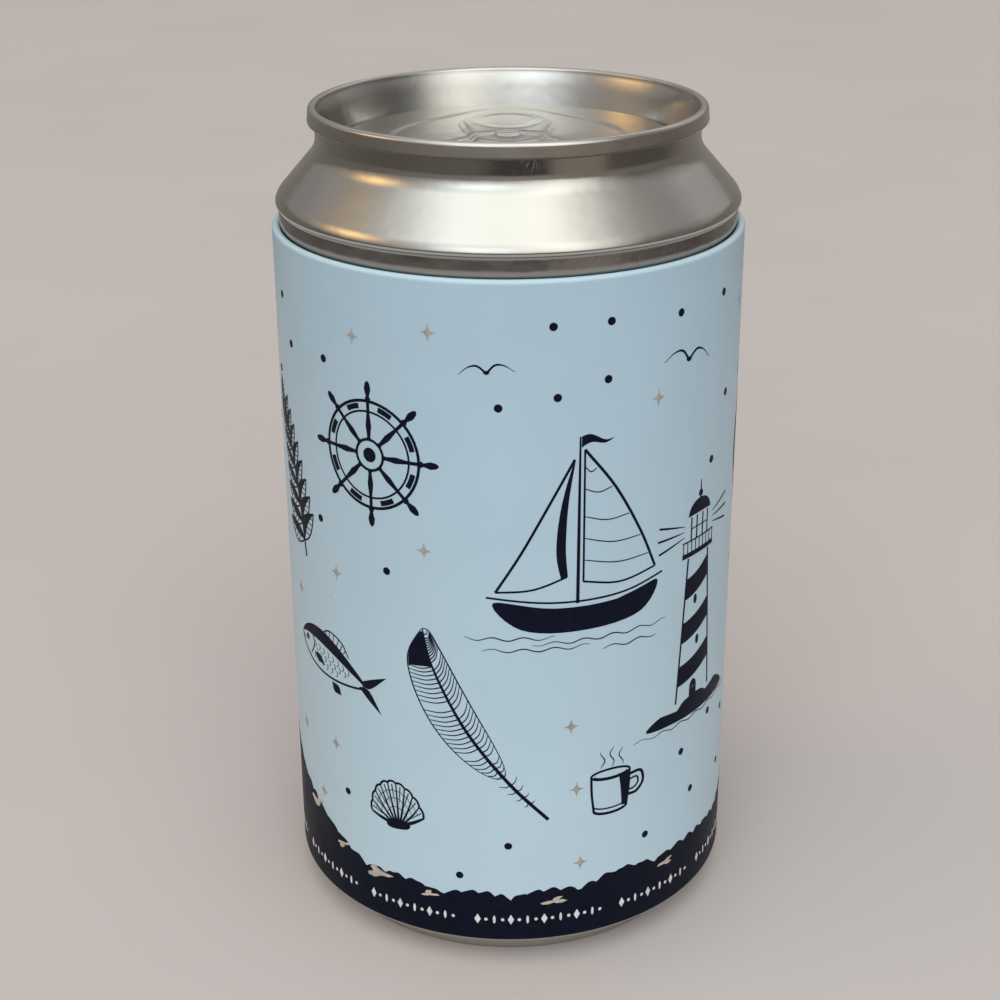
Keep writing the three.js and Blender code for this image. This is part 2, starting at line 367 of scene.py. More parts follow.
def seam_height(scene):
    """Top of the base ring. The underside leaves the bottom corner at its tilt, and the ring
    ends a clearance below it."""
    body, clearance = scene.tin_body, scene.tin_sheet.clearance
    tilt = body.underside_tilt
    corner_r = wall_radius(scene) - body.corner * (1 - math.sin(tilt))
    corner_z = body.wall_foot - body.corner * math.cos(tilt)
    run = corner_r - hook_radius(scene) - clearance
    return corner_z - run * math.tan(tilt) - clearance / math.cos(tilt)


def wall_path(scene):
    """Skin of the wall: inward curl, straight wall, bottom corner, slanted underside and the
    hook in the seam."""
    body, clearance = scene.tin_body, scene.tin_sheet.clearance
    radius, hook = wall_radius(scene), hook_radius(scene)
    tilt = body.underside_tilt / QUARTER
    return np.vstack([
        arc(radius - body.curl, body.top - body.curl, body.curl, 3, 0, 24),
        arc(radius - body.corner, body.wall_foot, body.corner, 0, tilt - 1, 12),
        arc(hook + clearance, seam_height(scene), clearance, 1 + tilt, 2, 4),
        [(hook, body.hook_end)],
    ])


def wall_mesh(scene):
    """The wall's section carried round, drawn in on one side of the lap at the back: there the
    outer sheet ends, and the lower one rises to the full radius over the lap's width."""
    body, common = scene.tin_body, scene.tin_sheet
    front, back = sheet_faces(scene, wall_path(scene))
    section = np.vstack([front, back])
    fine_shares = np.array([-0.26, -0.24, -0.02, 0, 0.02, 0.1, 0.2, 0.27, 0.29, 0.4, 0.6, 0.8, 1])
    lap = math.pi + fine_shares * body.lap_width / body.radius
    angles = np.unique(np.concatenate([even_angles(common.turns), lap]))
    beyond = (angles - math.pi) * body.radius
    dip = np.where(beyond > TOUCH, common.sheet * (1 - ease(beyond / body.lap_width)), 0)
    grid = turned(section, angles)
    drawn = 1 - dip[None, :] / section[:, 0, None]
    grid[..., :2] *= drawn[..., None]
    beside = (beyond > -body.margin) & (beyond < FAR_MARGIN * body.margin)
    level = section[:, 1, None]
    bare = np.where(beside[None, :] | (level < body.print_end), 1.0, 0.0)
    # The worn mask is 1 along the curl's crest and round the print's end on the bottom corner. The print lays
    # a lighter tone over it, a painted highlight along the curl's crest, and its rubbed wear follows the same
    # mask.
    crest = 1 - ease(np.abs(level - body.top) / body.curl)
    foot = 1 - ease(np.abs(level - body.print_end) / body.corner)
    values = {"bare": bare, "worn": np.maximum(crest, foot) + 0 * angles}
    outside = np.arange(len(section)) < len(front) - 1
    slots = np.repeat(np.where(outside, 0, 1), len(angles))
    return make_mesh("printed_wall", [grid], looped=True, slots=slots, values=values)


def base_path(scene):
    """Underside of the base end: panel, bead, chuck wall, foot and the seam's outer wall."""
    body, common = scene.tin_body, scene.tin_sheet
    chuck = hook_radius(scene) - 2 * common.sheet - common.clearance
    half, foot, rounding = body.bead_width / 2, body.foot, body.panel_rounding
    rise = np.linspace(-1, 1, 17)
    bead = np.column_stack([
        body.bead_radius + half * rise,
        body.panel_lift + body.bead_height * np.cos(rise * QUARTER) ** 2,
    ])
    return np.vstack([
        [(0, body.panel_lift), (body.bead_radius / 3, body.panel_lift)],
        bead,
        arc(chuck - rounding, body.panel_lift - rounding, rounding, 1, 0),
        arc(chuck + foot, foot, foot, 2, 3),
        arc(body.seam_radius - foot, foot, foot, 3, 4),
        [(body.seam_radius, seam_height(scene))],
    ])


def base_mesh(scene):
    """The base end's sheet turned round the axis."""
    section = np.vstack(sheet_faces(scene, base_path(scene), -1))
    return make_mesh("seamed_base", [turned(section, even_angles(scene.tin_sheet.turns))])


def neck_radius(lid):
    """Outside of the lid's neck."""
    return lid.rim_radius - lid.neck_inset


def shell_path(scene):
    """Skin of the lid shell, from the flange down to the plug's end. The shoulder's lower edge
    and the hollow under it are two arcs that touch where both lean by the same angle: its
    cosine is the distance of their middles along the radius over the sum of their radii."""
    lid, body, common = scene.tin_lid, scene.tin_body, scene.tin_sheet
    plug = body.radius - 2 * body.curl - lid.plug_clearance
    band = plug + lid.band_step - lid.band_rounding
    neck = neck_radius(lid)
    flange = lid.rim_radius - common.sheet - common.clearance
    step = body.top - lid.seat_drop
    middle = body.top + lid.shoulder_lift
    slope, bend = lid.cone_tilt / QUARTER, lid.shoulder_bend / QUARTER
    wide = lid.shoulder_radius - lid.shoulder_under
    between = lid.shoulder_rounding - lid.shoulder_under
    arc_r = wide - between * math.cos(lid.shoulder_bend)
    arc_z = middle - between * math.sin(lid.shoulder_bend)
    foot_r = arc_r + lid.shoulder_rounding * math.cos(lid.cone_tilt)
    foot_z = arc_z + lid.shoulder_rounding * math.sin(lid.cone_tilt)
    drawn_in = arc(0, 0, 1, 0, -1, 12) * (lid.band_rounding, lid.band_draw)
    hollow_r = band + lid.band_rounding + lid.hollow
    lean = math.acos((hollow_r - wide) / (lid.shoulder_under + lid.hollow))
    hollow_z = middle - (lid.shoulder_under + lid.hollow) * math.sin(lean)
    turn = lean / QUARTER
    cone_top = foot_z + (foot_r - neck) / math.tan(lid.cone_tilt)
    neck_foot = cone_top + lid.neck_rounding * math.tan(lid.cone_tilt / 2)
    under = lid.flange_top - common.sheet
    return np.vstack([
        [(flange, under)],
        arc(neck + lid.flange, under - lid.flange, lid.flange, 1, 2),
        arc(neck + lid.neck_rounding, neck_foot, lid.neck_rounding, 2, 2 + slope, 16),
        arc(arc_r, arc_z, lid.shoulder_rounding, slope, bend, 16),
        arc(wide, middle, lid.shoulder_under, bend, -turn, 12),
        arc(hollow_r, hollow_z, lid.hollow, 2 - turn, 2, 10),
        drawn_in + (band, step + lid.band_draw),
        arc(plug + lid.step_rounding, step - lid.step_rounding, lid.step_rounding, 1, 2, 4),
        [(plug, lid.plug_end + lid.lead_in), (plug - lid.lead_inset, lid.plug_end)],
    ])


def shell_mesh(scene):
    """The lid shell's sheet turned round the axis."""
    section = np.vstack(sheet_faces(scene, shell_path(scene)))
    return make_mesh("plug_shell", [turned(section, even_angles(scene.tin_sheet.turns))], looped=True)


def soft_corner(before, corner, after, reach, steps=10):
    """A corner between two straight runs, rounded by the parabola that leaves the first run and
    joins the second one at the same reach from the corner."""
    before, corner, after = (np.array(point) for point in (before, corner, after))
    start = corner + (before - corner) * reach / np.hypot(*(before - corner))
    stop = corner + (after - corner) * reach / np.hypot(*(after - corner))
    t = np.linspace(0, 1, steps + 1)[:, None]
    return (1 - t) ** 2 * start + 2 * t * (1 - t) * corner + t**2 * stop


def end_rim_path(scene):
    """Top skin of the lid end outside its panel: countersink, chuck wall and rim."""
    lid, common = scene.tin_lid, scene.tin_sheet
    neck = neck_radius(lid)
    chuck = neck - 2 * common.sheet - common.clearance
    panel = chuck - lid.chuck_lean - 2 * lid.trough
    level = lid.rim_crest - lid.panel_drop
    trough_middle = level - lid.trough_depth + lid.trough
    inner, outer = lid.rim_inner, lid.rim_rounding
    crest = lid.rim_radius - lid.rim_width
    underside = lid.rim_crest - lid.rim_height
    lean_in = (lid.rim_height - outer) * math.tan(lid.rim_lean) + outer * math.cos(lid.rim_lean)
    bend = (chuck, lid.flange_top - common.sheet)
    flared = (crest, lid.rim_crest - inner)
    wall = soft_corner((chuck - lid.chuck_lean, trough_middle), bend, flared, lid.chuck_bend)
    return np.vstack([
        arc(panel - lid.panel_rounding, level - lid.panel_rounding, lid.panel_rounding, 1, 0, 6),
        arc(panel + lid.trough, trough_middle, lid.trough, 2, 4, 10),
        wall,
        arc(crest + inner, lid.rim_crest - inner, inner, 2, 1, 8),
        arc(lid.rim_radius - lean_in, lid.rim_crest - outer, outer, 1, lid.rim_lean / QUARTER, 8),
        arc(lid.rim_radius - lid.rim_under, underside + lid.rim_under, lid.rim_under, 0, -1, 6),
        [(neck + common.clearance, underside)],
    ])


def from_two_circles(x, y, panel, front_y, front_radius, back_y, back_radius):
    """Distance to the outline round two circles on the Y axis and their tangents, less than 0
    inside. All four numbers are shares of the panel's radius."""
    x, y = np.abs(x), y - front_y * panel
    near, far, apart = front_radius * panel, back_radius * panel, (back_y - front_y) * panel
    lean = (near - far) / apart
    run = math.sqrt(1 - lean * lean)
    along = y * run - x * lean
    to_front = np.hypot(x, y) - near
    to_back = np.hypot(x, y - apart) - far
    to_side = x * run + y * lean - near
    return np.where(along < 0, to_front, np.where(along > apart * run, to_back, to_side))


# Two circles each of the recess, the mouth, the tab, its finger ring and the rivet
OUTLINE_SHARES = (
    (0, 0.73, 0.56, 0.345),
    (-0.4, 0.24, -0.275, 0.3),
    (-0.07, 0.223, 0.412, 0.309),
    (0.386, 0.146, 0.472, 0.189),
    (0, 0.099, 0.017, 0.099),
)

# Distance of each ridge from its outline, and its half width, in widths of a pressed step
SCORE_RIDGE = (2.2, 0.5)
TAB_RIDGE = (-1.7, 0.8)
RING_RIDGE = (0.9, 0.7)


def ridge(distance, wall, away, wide):
    """A bell that follows an outline: exp(-((distance - away) / wide) squared)."""
    return np.exp(-(((distance - away * wall) / (wide * wall)) ** 2))


def relief(scene, x, y, panel):
    """Height of the pressed panel: each form is a smooth step of the distance to its outline,
    and the score and the tab's rolled edge are ridges that follow an outline."""
    sizes, wall = scene.tin_relief, scene.tin_relief.wall
    recess, mouth, tab, finger, rivet = (from_two_circles(x, y, panel, *two) for two in OUTLINE_SHARES)
    height = -sizes.recess * ease(-recess / wall)
    height = height + sizes.mouth * ease(-mouth / wall)
    height = height - sizes.score * ridge(mouth, wall, *SCORE_RIDGE)
    height = height + sizes.tab * ease(-tab / wall) - sizes.ring * ease(-finger / wall)
    rolled = ridge(tab, wall, *TAB_RIDGE) + ridge(finger, wall, *RING_RIDGE)
    height = height + sizes.tab_bead * rolled * ease(finger / wall) * ease(-tab / wall)
    return height + sizes.rivet * ease(-rivet / wall)


def panel_rows(scene, panel, level, rings):
    """Rings of the panel from its middle to its edge. Ring s is a circle of radius s R whose
    middle moves from behind the axis onto it: (0, (1 - s) m)."""
    angles = even_angles(scene.tin_sheet.turns)
    s = np.linspace(0, 1, rings + 1)[:, None]
    x = s * panel * np.sin(angles)
    y = -s * panel * np.cos(angles) + (1 - s) * scene.tin_relief.middle
    return np.stack([x, y, level + relief(scene, x, y, panel)], axis=-1)


def end_mesh(scene):
    """Panel with its relief, countersink, chuck wall and rim on top, and the same below, one
    sheet lower."""
    common, lid = scene.tin_sheet, scene.tin_lid
    front, back = sheet_faces(scene, end_rim_path(scene))
    angles = even_angles(common.turns)
    rings = int(front[0, 0] / scene.tin_relief.ring_step)
    level = lid.rim_crest - lid.panel_drop
    top = panel_rows(scene, front[0, 0], level, rings)[:-1]
    below = panel_rows(scene, back[-1, 0], level - common.sheet, rings // 2)[:-1]
    grid = np.concatenate([top, turned(front, angles), turned(back, angles), below[::-1]])
    return make_mesh("pressed_end", [grid])


# The pictures are drawn in shares of their size, about their middle. A longer step than this
# would cut through the round wall.
STEP_SHARE = 0.045


def smooth(points, steps=8, closed=False):
    """A curve through the points. On each span it is the cubic whose slope at a point is half
    the way from the point before to the point after."""
    p = np.array(points, float)
    if closed:
        slopes = (np.roll(p, -1, axis=0) - np.roll(p, 1, axis=0)) / 2
        start, stop, leave, arrive = p, np.roll(p, -1, axis=0), slopes, np.roll(slopes, -1, axis=0)
    else:
        slopes = np.gradient(p, axis=0)
        start, stop, leave, arrive = p[:-1], p[1:], slopes[:-1], slopes[1:]
    t = (np.arange(steps) / steps)[None, :, None]
    curve = (2 * t**3 - 3 * t**2 + 1) * start[:, None] + (3 * t**2 - 2 * t**3) * stop[:, None]
    curve = curve + (t**3 - 2 * t**2 + t) * leave[:, None] + (t**3 - t**2) * arrive[:, None]
    curve = curve.reshape(-1, 2)
    return curve if closed else np.vstack([curve, p[-1:]])


def straight(points, steps=None):
    """The straight runs between the points, cut into short steps that keep every corner."""
    p = np.array(points, float)
    reach = np.concatenate([[0], np.cumsum(np.hypot(*np.diff(p, axis=0).T))])
    steps = steps or math.ceil(reach[-1] / STEP_SHARE)
    return at_ways(p, reach, np.unique(np.concatenate([reach, np.linspace(0, reach[-1], steps + 1)])))


def oval(x, y, wide, high=None, start=0, stop=1, steps=40):
    """An ellipse about (x, y), from one share of a turn to another."""
    way = np.linspace(start, stop, steps + 1) * TURN
    high = wide if high is None else high
    return np.column_stack([x + wide * np.cos(way), y + high * np.sin(way)])


def turned_by(points, turn_share, centre=(0, 0)):
    """The points turned about a centre by a share of a turn."""
    c, s = math.cos(turn_share * TURN), math.sin(turn_share * TURN)
    return (np.array(points, float) - centre) @ np.array([[c, s], [-s, c]]) + centre


def lifted(rows, lift):
    """Rows of flat points with their lift as a third number: 1 on top of the ink, 0 at its foot."""
    return np.concatenate([rows, np.full(rows.shape[:2] + (1,), lift)], axis=2)


def strip(left, right):
    """The area between two edges of as many points, as a closed skin: its columns run from the
    left edge to the right one on top and back below, and both ends close in a point."""
    columns = math.ceil(np.hypot(*(right - left).T).max() / STEP_SHARE)
    across_share = np.linspace(0, 1, columns + 1)[None, :, None]
    across = left[:, None] + (right - left)[:, None] * across_share
    skin = np.concatenate([lifted(across, 1.0), lifted(across[:, ::-1], 0.0)], axis=1)
    ends = np.repeat(skin[[0, -1]].mean(axis=1, keepdims=True), skin.shape[1], axis=1)
    return np.concatenate([ends[:1], skin, ends[1:]])


def stroke(path, width, start=1, stop=1):
    """A pen line along a path. Its width falls with the square of the way to each end, to the
    given shares."""
    along = np.linspace(0, 1, len(path))
    half = width / 2 * (1 - (1 - start) * (1 - along) ** 2 - (1 - stop) * along**2)
    way = np.gradient(path, axis=0)
    side = np.column_stack([-way[:, 1], way[:, 0]]) / np.hypot(*way.T)[:, None]
    return strip(path + side * half[:, None], path - side * half[:, None])


def area(outline):
    """The area inside an outline that its middle sees all round: rings of it shrink to the
    middle on top and below."""
    middle = outline.mean(axis=0)
    rings = math.ceil(np.hypot(*(outline - middle).T).max() / STEP_SHARE)
    ring_share = np.linspace(0, 1, rings + 1)[:, None, None]
    rows = middle + (outline - middle)[None] * ring_share
    return np.concatenate([lifted(rows, 1.0), lifted(rows[::-1], 0.0)])


def blob(points, steps=6):
    """The area inside a smooth closed curve."""
    return area(smooth(points, steps, closed=True))


def disc(x, y, wide, high=None, steps=16):
    """The area inside an ellipse."""
    return area(oval(x, y, wide, high, steps=steps)[:-1])


def ring(x, y, wide, pen, high=None, steps=48):
    """A pen line round an ellipse, whose end laps over its start."""
    return stroke(oval(x, y, wide, high, 0, 1.005, steps), pen)


def line(points, width, start=1, stop=1):
    """A pen line of straight runs."""
    return stroke(straight(points), width, start, stop)


def curve(points, width, start=1, stop=1, steps=8):
    """A smooth pen line."""
    return stroke(smooth(points, steps), width, start, stop)


def slab(first, second):
    """The area between two straight edges."""
    return strip(straight(first, 12), straight(second, 12))


def lens(first, middle_one, middle_two, last):
    """The area between two bent edges that meet at both ends."""
    return strip(smooth([first, middle_one, last], 6), smooth([first, middle_two, last], 6))


def ripple(left, right, level, height, pace, width, fade=0.2):
    """A pen line that rises and falls as a sine of its way."""
    x = np.linspace(left, right, 40)
    return stroke(np.column_stack([x, level + height * np.sin(pace * x)]), width, fade, fade)


def ship_wheel(pen):
    """Two rings with eight filled joints, a hub, and eight turned spokes that end in handles."""
    marks = [ring(0, 0, 0.365, 1.5 * pen), ring(0, 0, 0.295, pen)]
    marks += [ring(0, 0, 0.105, 1.4 * pen), disc(0, 0, 0.05)]
    way = np.linspace(0.1, 0.5, 48)
    reach_shares = [0.1, 0.125, 0.2, 0.28, 0.365, 0.38, 0.395, 0.445, 0.485, 0.5]
    half_shares = [0.024, 0.012, 0.022, 0.012, 0.012, 0.024, 0.011, 0.026, 0.018, 0.003]
    half = np.interp(way, reach_shares, half_shares)
    for k in range(8):
        edges = [turned_by(np.column_stack([way, side * half]), k / 8) for side in (1, -1)]
        joint = [oval(0, 0, reach, None, (k + 0.3) / 8, (k + 0.7) / 8, 8) for reach in (0.312, 0.348)]
        marks += [strip(*edges), strip(*joint)]
    return marks


def sailing_boat(pen):
    """Hull, mast, two sails with their seams, a pennant and the waves below."""
    hull = [(-0.37, -0.25), (-0.1, -0.285), (0.2, -0.28), (0.4, -0.24), (0.31, -0.37),
            (0.02, -0.405), (-0.25, -0.38)]
    marks = [line([(0, -0.27), (0.004, 0.5)], 1.7 * pen, 1, 0.5), blob(hull)]
    marks.append(curve([(-0.4, -0.225), (-0.1, -0.258), (0.2, -0.255), (0.43, -0.21)], pen))
    luff = straight([(0.025, 0.44), (0.025, -0.17)], 24)
    leech = smooth([(0.025, 0.44), (0.17, 0.25), (0.3, 0.02), (0.385, -0.17)], 8)
    marks += [stroke(luff, pen), stroke(leech, 1.4 * pen)]
    marks.append(curve([(0.025, -0.17), (0.2, -0.2), (0.385, -0.17)], pen))
    for k in (3, 7, 12, 16, 20):
        seam_end = leech[k] - (0, 0.02)
        sag = (luff[k] + seam_end) / 2 - (0, 0.02)
        marks.append(curve([luff[k], sag, seam_end], 0.7 * pen, 0.6, 0.6))
    fore = smooth([(-0.02, 0.4), (-0.13, 0.2), (-0.25, -0.02), (-0.36, -0.2)], 8)
    back = smooth([(-0.02, 0.4), (-0.05, 0.2), (-0.06, 0), (-0.05, -0.14)], 8)
    marks += [stroke(fore, 1.3 * pen), stroke(back, pen)]
    marks.append(curve([(-0.36, -0.2), (-0.2, -0.19), (-0.05, -0.14)], pen))
    marks.append(strip(back, back + (fore - back) * 0.42 * np.linspace(1, 0.2, 25)[:, None]))
    fly = np.linspace(0, 1, 13)
    top = np.column_stack([0.01 + 0.15 * fly, 0.5 - 0.02 * fly + 0.012 * np.sin(TURN * fly)])
    marks.append(strip(top, top - np.column_stack([0 * fly, 0.05 * (1 - fly)])))
    for row, (left, right) in enumerate([(-0.5, -0.1), (-0.2, 0.46), (-0.42, 0.06), (0.12, 0.4)]):
        marks.append(ripple(left, right, -0.425 - 0.028 * row, 0.008, 46, pen))
    return marks


def quill_feather(pen):
    """A bent shaft with a vane of curved barbs on each side, closed and dark towards its tip."""
    shaft = smooth([(0.035, -0.5), (0.0, -0.25), (-0.01, 0.05), (0.03, 0.34), (0.09, 0.5)], 14)
    marks = [stroke(shaft, 2 * pen, 0.9, 0.3)]
    vane = np.clip((np.linspace(0, 1, len(shaft)) - 0.27) / 0.73, 0, 1)
    lift = 0.06 * np.sin(math.pi * vane)
    left = shaft + np.column_stack([-0.115 * np.sin(math.pi * vane**0.75) ** 0.7, lift])
    right = shaft + np.column_stack([0.085 * np.sin(math.pi * vane**0.85) ** 0.6, lift])
    first = int(0.28 * len(shaft))
    marks += [stroke(left[first:], pen, 0.3, 0.4), stroke(right[first:], pen, 0.3, 0.4)]
    for k in range(first + 1, len(shaft) - 2):
        for number, edge in enumerate((left, right)):
            if (k * 7 + 3 * number) % 11:
                middle = (shaft[k] + edge[k]) / 2 - (0, 0.012)
                marks.append(curve([shaft[k], middle, edge[k]], 0.62 * pen, 1, 0.5, 4))
    tip = slice(int(0.74 * len(shaft)), len(shaft) - 1)
    marks.append(strip(shaft[tip], (shaft + (left - shaft) * 0.96)[tip]))
    for k in range(4):
        start = shaft[first - 2 - 2 * k]
        for side in (-1, 1):
            end = start + (side * (0.045 - 0.006 * k), 0.02 - 0.01 * k)
            marks.append(curve([start, (start + end) / 2 - (0, 0.008), end], 0.6 * pen, 1, 0.3, 4))
    return marks


def lighthouse(pen):
    """A tapering tower with slanted bands, a railed gallery, a lantern room, a dome and rocks."""
    foot, head, low, high = 0.115, 0.068, -0.4, 0.2
    marks = []
    for side in (-1, 1):
        marks.append(line([(side * foot, low), (side * head, high)], 1.2 * pen))
    across = np.linspace(-1, 1, 13)
    for level in (-0.3, -0.12, 0.06):
        edges = []
        for y in (level + 0.03 * across, level + 0.085 + 0.03 * across):
            half = np.interp(y, [low, high], [foot, head])
            edges.append(np.column_stack([across * half, y - 0.012 * (1 - across**2)]))
        marks.append(strip(*edges))
    marks.append(slab([(-0.105, 0.205), (0.105, 0.205)], [(-0.105, 0.225), (0.105, 0.225)]))
    marks.append(line([(-0.105, 0.27), (0.105, 0.27)], 0.8 * pen))
    marks += [line([(x, 0.225), (x, 0.27)], 0.6 * pen) for x in np.linspace(-0.1, 0.1, 9)]
    marks += [line([(x, 0.27), (x, 0.365)], pen) for x in (-0.055, -0.02, 0.02, 0.055)]
    marks.append(line([(-0.055, 0.318), (0.055, 0.318)], 0.6 * pen))
    marks.append(strip(oval(0, 0.368, 0.075, 0.004, 0.5, 0, 16), oval(0, 0.368, 0.075, 0.062, 0.5, 0, 16)))
    marks += [line([(0, 0.42), (0, 0.5)], 1.2 * pen, 1, 0.4), disc(0, 0.447, 0.014)]
    arch = [oval(-0.005, -0.365, 0.024, rise, 0.5, 0, 10) for rise in (0.002, 0.034)]
    marks += [strip(*arch), slab([(-0.029, -0.4), (-0.029, -0.365)], [(0.019, -0.4), (0.019, -0.365)])]
    for x, y in ((0.012, -0.165), (-0.012, 0.015)):
        marks.append(disc(x, y, 0.011, 0.02, 14))
    for side in (-1, 1):
        for tilt in (-0.035, 0, 0.035):
            beam = turned_by([(side * 0.1, 0.318), (side * 0.24, 0.318)], side * tilt, (0, 0.318))
            marks.append(line(beam, 1.1 * pen, 0.3, 1))
    rocks = [(-0.27, -0.47), (-0.2, -0.425), (-0.12, -0.44), (-0.06, -0.405), (0.05, -0.4),
             (0.12, -0.43), (0.2, -0.41), (0.29, -0.475), (0.12, -0.485), (-0.1, -0.48)]
    return marks + [blob(rocks, 4), ripple(-0.33, 0.33, -0.495, 0.006, 60, 0.9 * pen)]


def fish(pen):
    """A leaf-shaped body with a dark back, gill, eye, rows of scales, fins and a forked tail."""
    t = np.linspace(0, 1, 41)
    spine = 0.02 * np.sin(math.pi * t)
    deep = 0.165 * np.sin(math.pi * t**0.72) ** 0.85 + 0.026 * t
    x = -0.5 + 0.8 * t
    back, side_line, belly = (np.column_stack([x, spine + drop * deep]) for drop in (1, 0.42, -0.9))
    marks = [stroke(back, 1.3 * pen, 0.7, 1), stroke(belly, 1.2 * pen, 0.7, 1)]
    marks.append(strip(back[1:], side_line[1:]))
    marks.append(curve([(-0.34, 0.1), (-0.29, 0.02), (-0.33, -0.09)], 1.1 * pen, 0.5, 0.5))
    marks += [ring(-0.405, 0.012, 0.02, 0.8 * pen, steps=16), disc(-0.405, 0.012, 0.009)]
    marks.append(curve([(-0.49, -0.012), (-0.46, -0.025), (-0.435, -0.03)], 0.8 * pen, 0.6, 0.3, 4))
    for row, drop in enumerate((0.1, -0.2, -0.5)):
        for k in range(8 - row):
            at = 0.27 + 0.075 * k + 0.035 * (row % 2)
            centre = (np.interp(at, t, x), np.interp(at, t, spine + drop * deep))
            marks.append(stroke(oval(*centre, 0.022, 0.024, -0.22, 0.22, 8), 0.6 * pen, 0.4, 0.4))
    for rise in (1, -0.88):
        upper = smooth([(0.27, 0.025 * rise), (0.38, 0.1 * rise), (0.5, 0.17 * rise)], 8)
        marks.append(strip(upper, smooth([(0.31, 0), (0.38, 0.02 * rise), (0.5, 0.17 * rise)], 8)))
    fin = smooth([(-0.2, 0.175), (-0.1, 0.25), (0.05, 0.235), (0.14, 0.15)], 8)
    marks.append(stroke(fin, pen, 0.6, 0.6))
    for k, root in enumerate(np.linspace(-0.2, 0.14, len(fin))):
        if k % 3 == 2:
            marks.append(line([(root, 0.16), fin[k]], 0.6 * pen, 1, 0.6))
    marks.append(lens((-0.27, -0.04), (-0.2, -0.02), (-0.22, -0.08), (-0.12, -0.07)))
    marks.append(lens((-0.02, -0.145), (0.02, -0.21), (0.06, -0.14), (0.1, -0.2)))
    return marks


def camp_mug(pen):
    """A cup with an oval mouth, a rolled foot, a looped handle and three curls of steam."""
    marks = [ring(-0.08, 0.1, 0.27, 1.2 * pen, 0.07)]
    marks.append(stroke(oval(-0.08, 0.1, 0.235, 0.05, 0.52, 0.98), 0.7 * pen))
    left = smooth([(-0.35, 0.1), (-0.34, -0.15), (-0.31, -0.4)], 8)
    right = smooth([(0.19, 0.1), (0.18, -0.15), (0.15, -0.4)], 8)
    marks += [stroke(left, 1.3 * pen), stroke(right, 1.3 * pen)]
    marks.append(stroke(oval(-0.08, -0.4, 0.23, 0.065, 0.5, 1), 1.5 * pen))
    marks.append(stroke(oval(-0.08, -0.33, 0.235, 0.065, 0.52, 0.98), 0.8 * pen))
    shade = right + (left - right) * 0.3 * np.linspace(1, 0.5, len(left))[:, None]
    marks.append(strip(right[1:], shade[1:]))
    marks.append(curve([(0.19, 0.02), (0.36, 0.02), (0.4, -0.14), (0.3, -0.26), (0.17, -0.27)], 1.6 * pen))
    marks.append(curve([(0.19, -0.06), (0.3, -0.05), (0.32, -0.14), (0.25, -0.2), (0.17, -0.2)], pen))
    for k, x in enumerate((-0.2, -0.07, 0.06)):
        up = np.linspace(0.2, 0.44 + 0.05 * (k % 2), 20)
        steam = np.column_stack([x + 0.03 * np.sin(26 * up + k), up])
        marks.append(stroke(steam, 1.1 * pen, 0.2, 0.1))
    return marks


def leafy_branch(pen):
    """A bent twig with eight pairs of leaves, half of each leaf dark and half veined."""
    twig = smooth([(-0.05, -0.5), (0.0, -0.2), (0.01, 0.12), (-0.03, 0.38)], 12)
    marks = [stroke(twig, 1.5 * pen, 1, 0.4)]
    leaves = [(twig[4 + 4 * k], side, 0.24 - 0.012 * k) for k in range(8) for side in (-1, 1)]
    leaves.append((twig[-1], 0, 0.17))
    t = np.linspace(0, 1, 13)
    for number, (root, side, long) in enumerate(leaves):
        half = 0.24 * long * np.sin(math.pi * t**0.85) ** 0.9
        turn = 0.25 - side * (0.15 - 0.004 * number)
        bend = 0.02 * np.sin(math.pi * t)
        edges = [np.column_stack([long * t, bend + reach * half]) for reach in (1, 0, -1)]
        edges = [turned_by(edge, turn) + root for edge in edges]
        dark, rib, pale = edges if side >= 0 else edges[::-1]
        marks += [strip(dark, rib), stroke(pale, 0.9 * pen), stroke(rib, 0.8 * pen)]
        for k in (3, 5, 7, 9):
            marks.append(line([rib[k], (pale[k + 1] + rib[k + 1] * 0.15) / 1.15], 0.5 * pen))
    return marks


def scallop(pen):
    """A fan of ribs from the hinge to a wavy edge, with growth lines and two ears."""
    way = np.linspace(0.04, 0.46, 73)
    wave = 0.03 * np.abs(np.sin(math.pi * 9 * (way - 0.04) / 0.42)) ** 0.8
    reach = 0.66 + 0.08 * np.sin(TURN * way) + wave
    fan = np.column_stack([0.72 * reach * np.cos(TURN * way), reach * np.sin(TURN * way)])
    hinge = np.array((0, -0.36))
    marks = [stroke(fan + hinge, 1.2 * pen)]
    for k in range(10):
        rib = [hinge + fan[8 * k] * way_share for way_share in ((0.12, 0), (0.62, 0.5), (1, 1))]
        marks.append(curve(rib, (1.9 if k in (0, 9) else 1.1) * pen, 1.2, 0.6))
    for k in range(9):
        middle = fan[8 * k + 4]
        marks.append(line([hinge + middle * 0.52, hinge + middle * 0.93], 0.6 * pen, 0.3, 1))
    for grown in (0.42, 0.62, 0.8):
        marks.append(stroke((hinge + fan * grown)[4:-4], 0.5 * pen, 0.3, 0.3))
    return marks + [blob([(-0.19, -0.33), (0.19, -0.33), (0.15, -0.42), (-0.15, -0.42)])]


def gull(pen):
    """Two long wings in one line, thick at the shoulders, with a small dark body."""
    marks = [disc(0, -0.02, 0.055, 0.035)]
    for side in (-1, 1):
        wing = smooth([(0, 0), (side * 0.16, 0.13), (side * 0.33, 0.1), (side * 0.5, -0.03)], 8)
        thin = 0.055 * np.linspace(1, 0, len(wing)) ** 1.5 + 0.3 * pen
        marks.append(strip(wing, wing - np.column_stack([0 * thin, thin])))
    return marks


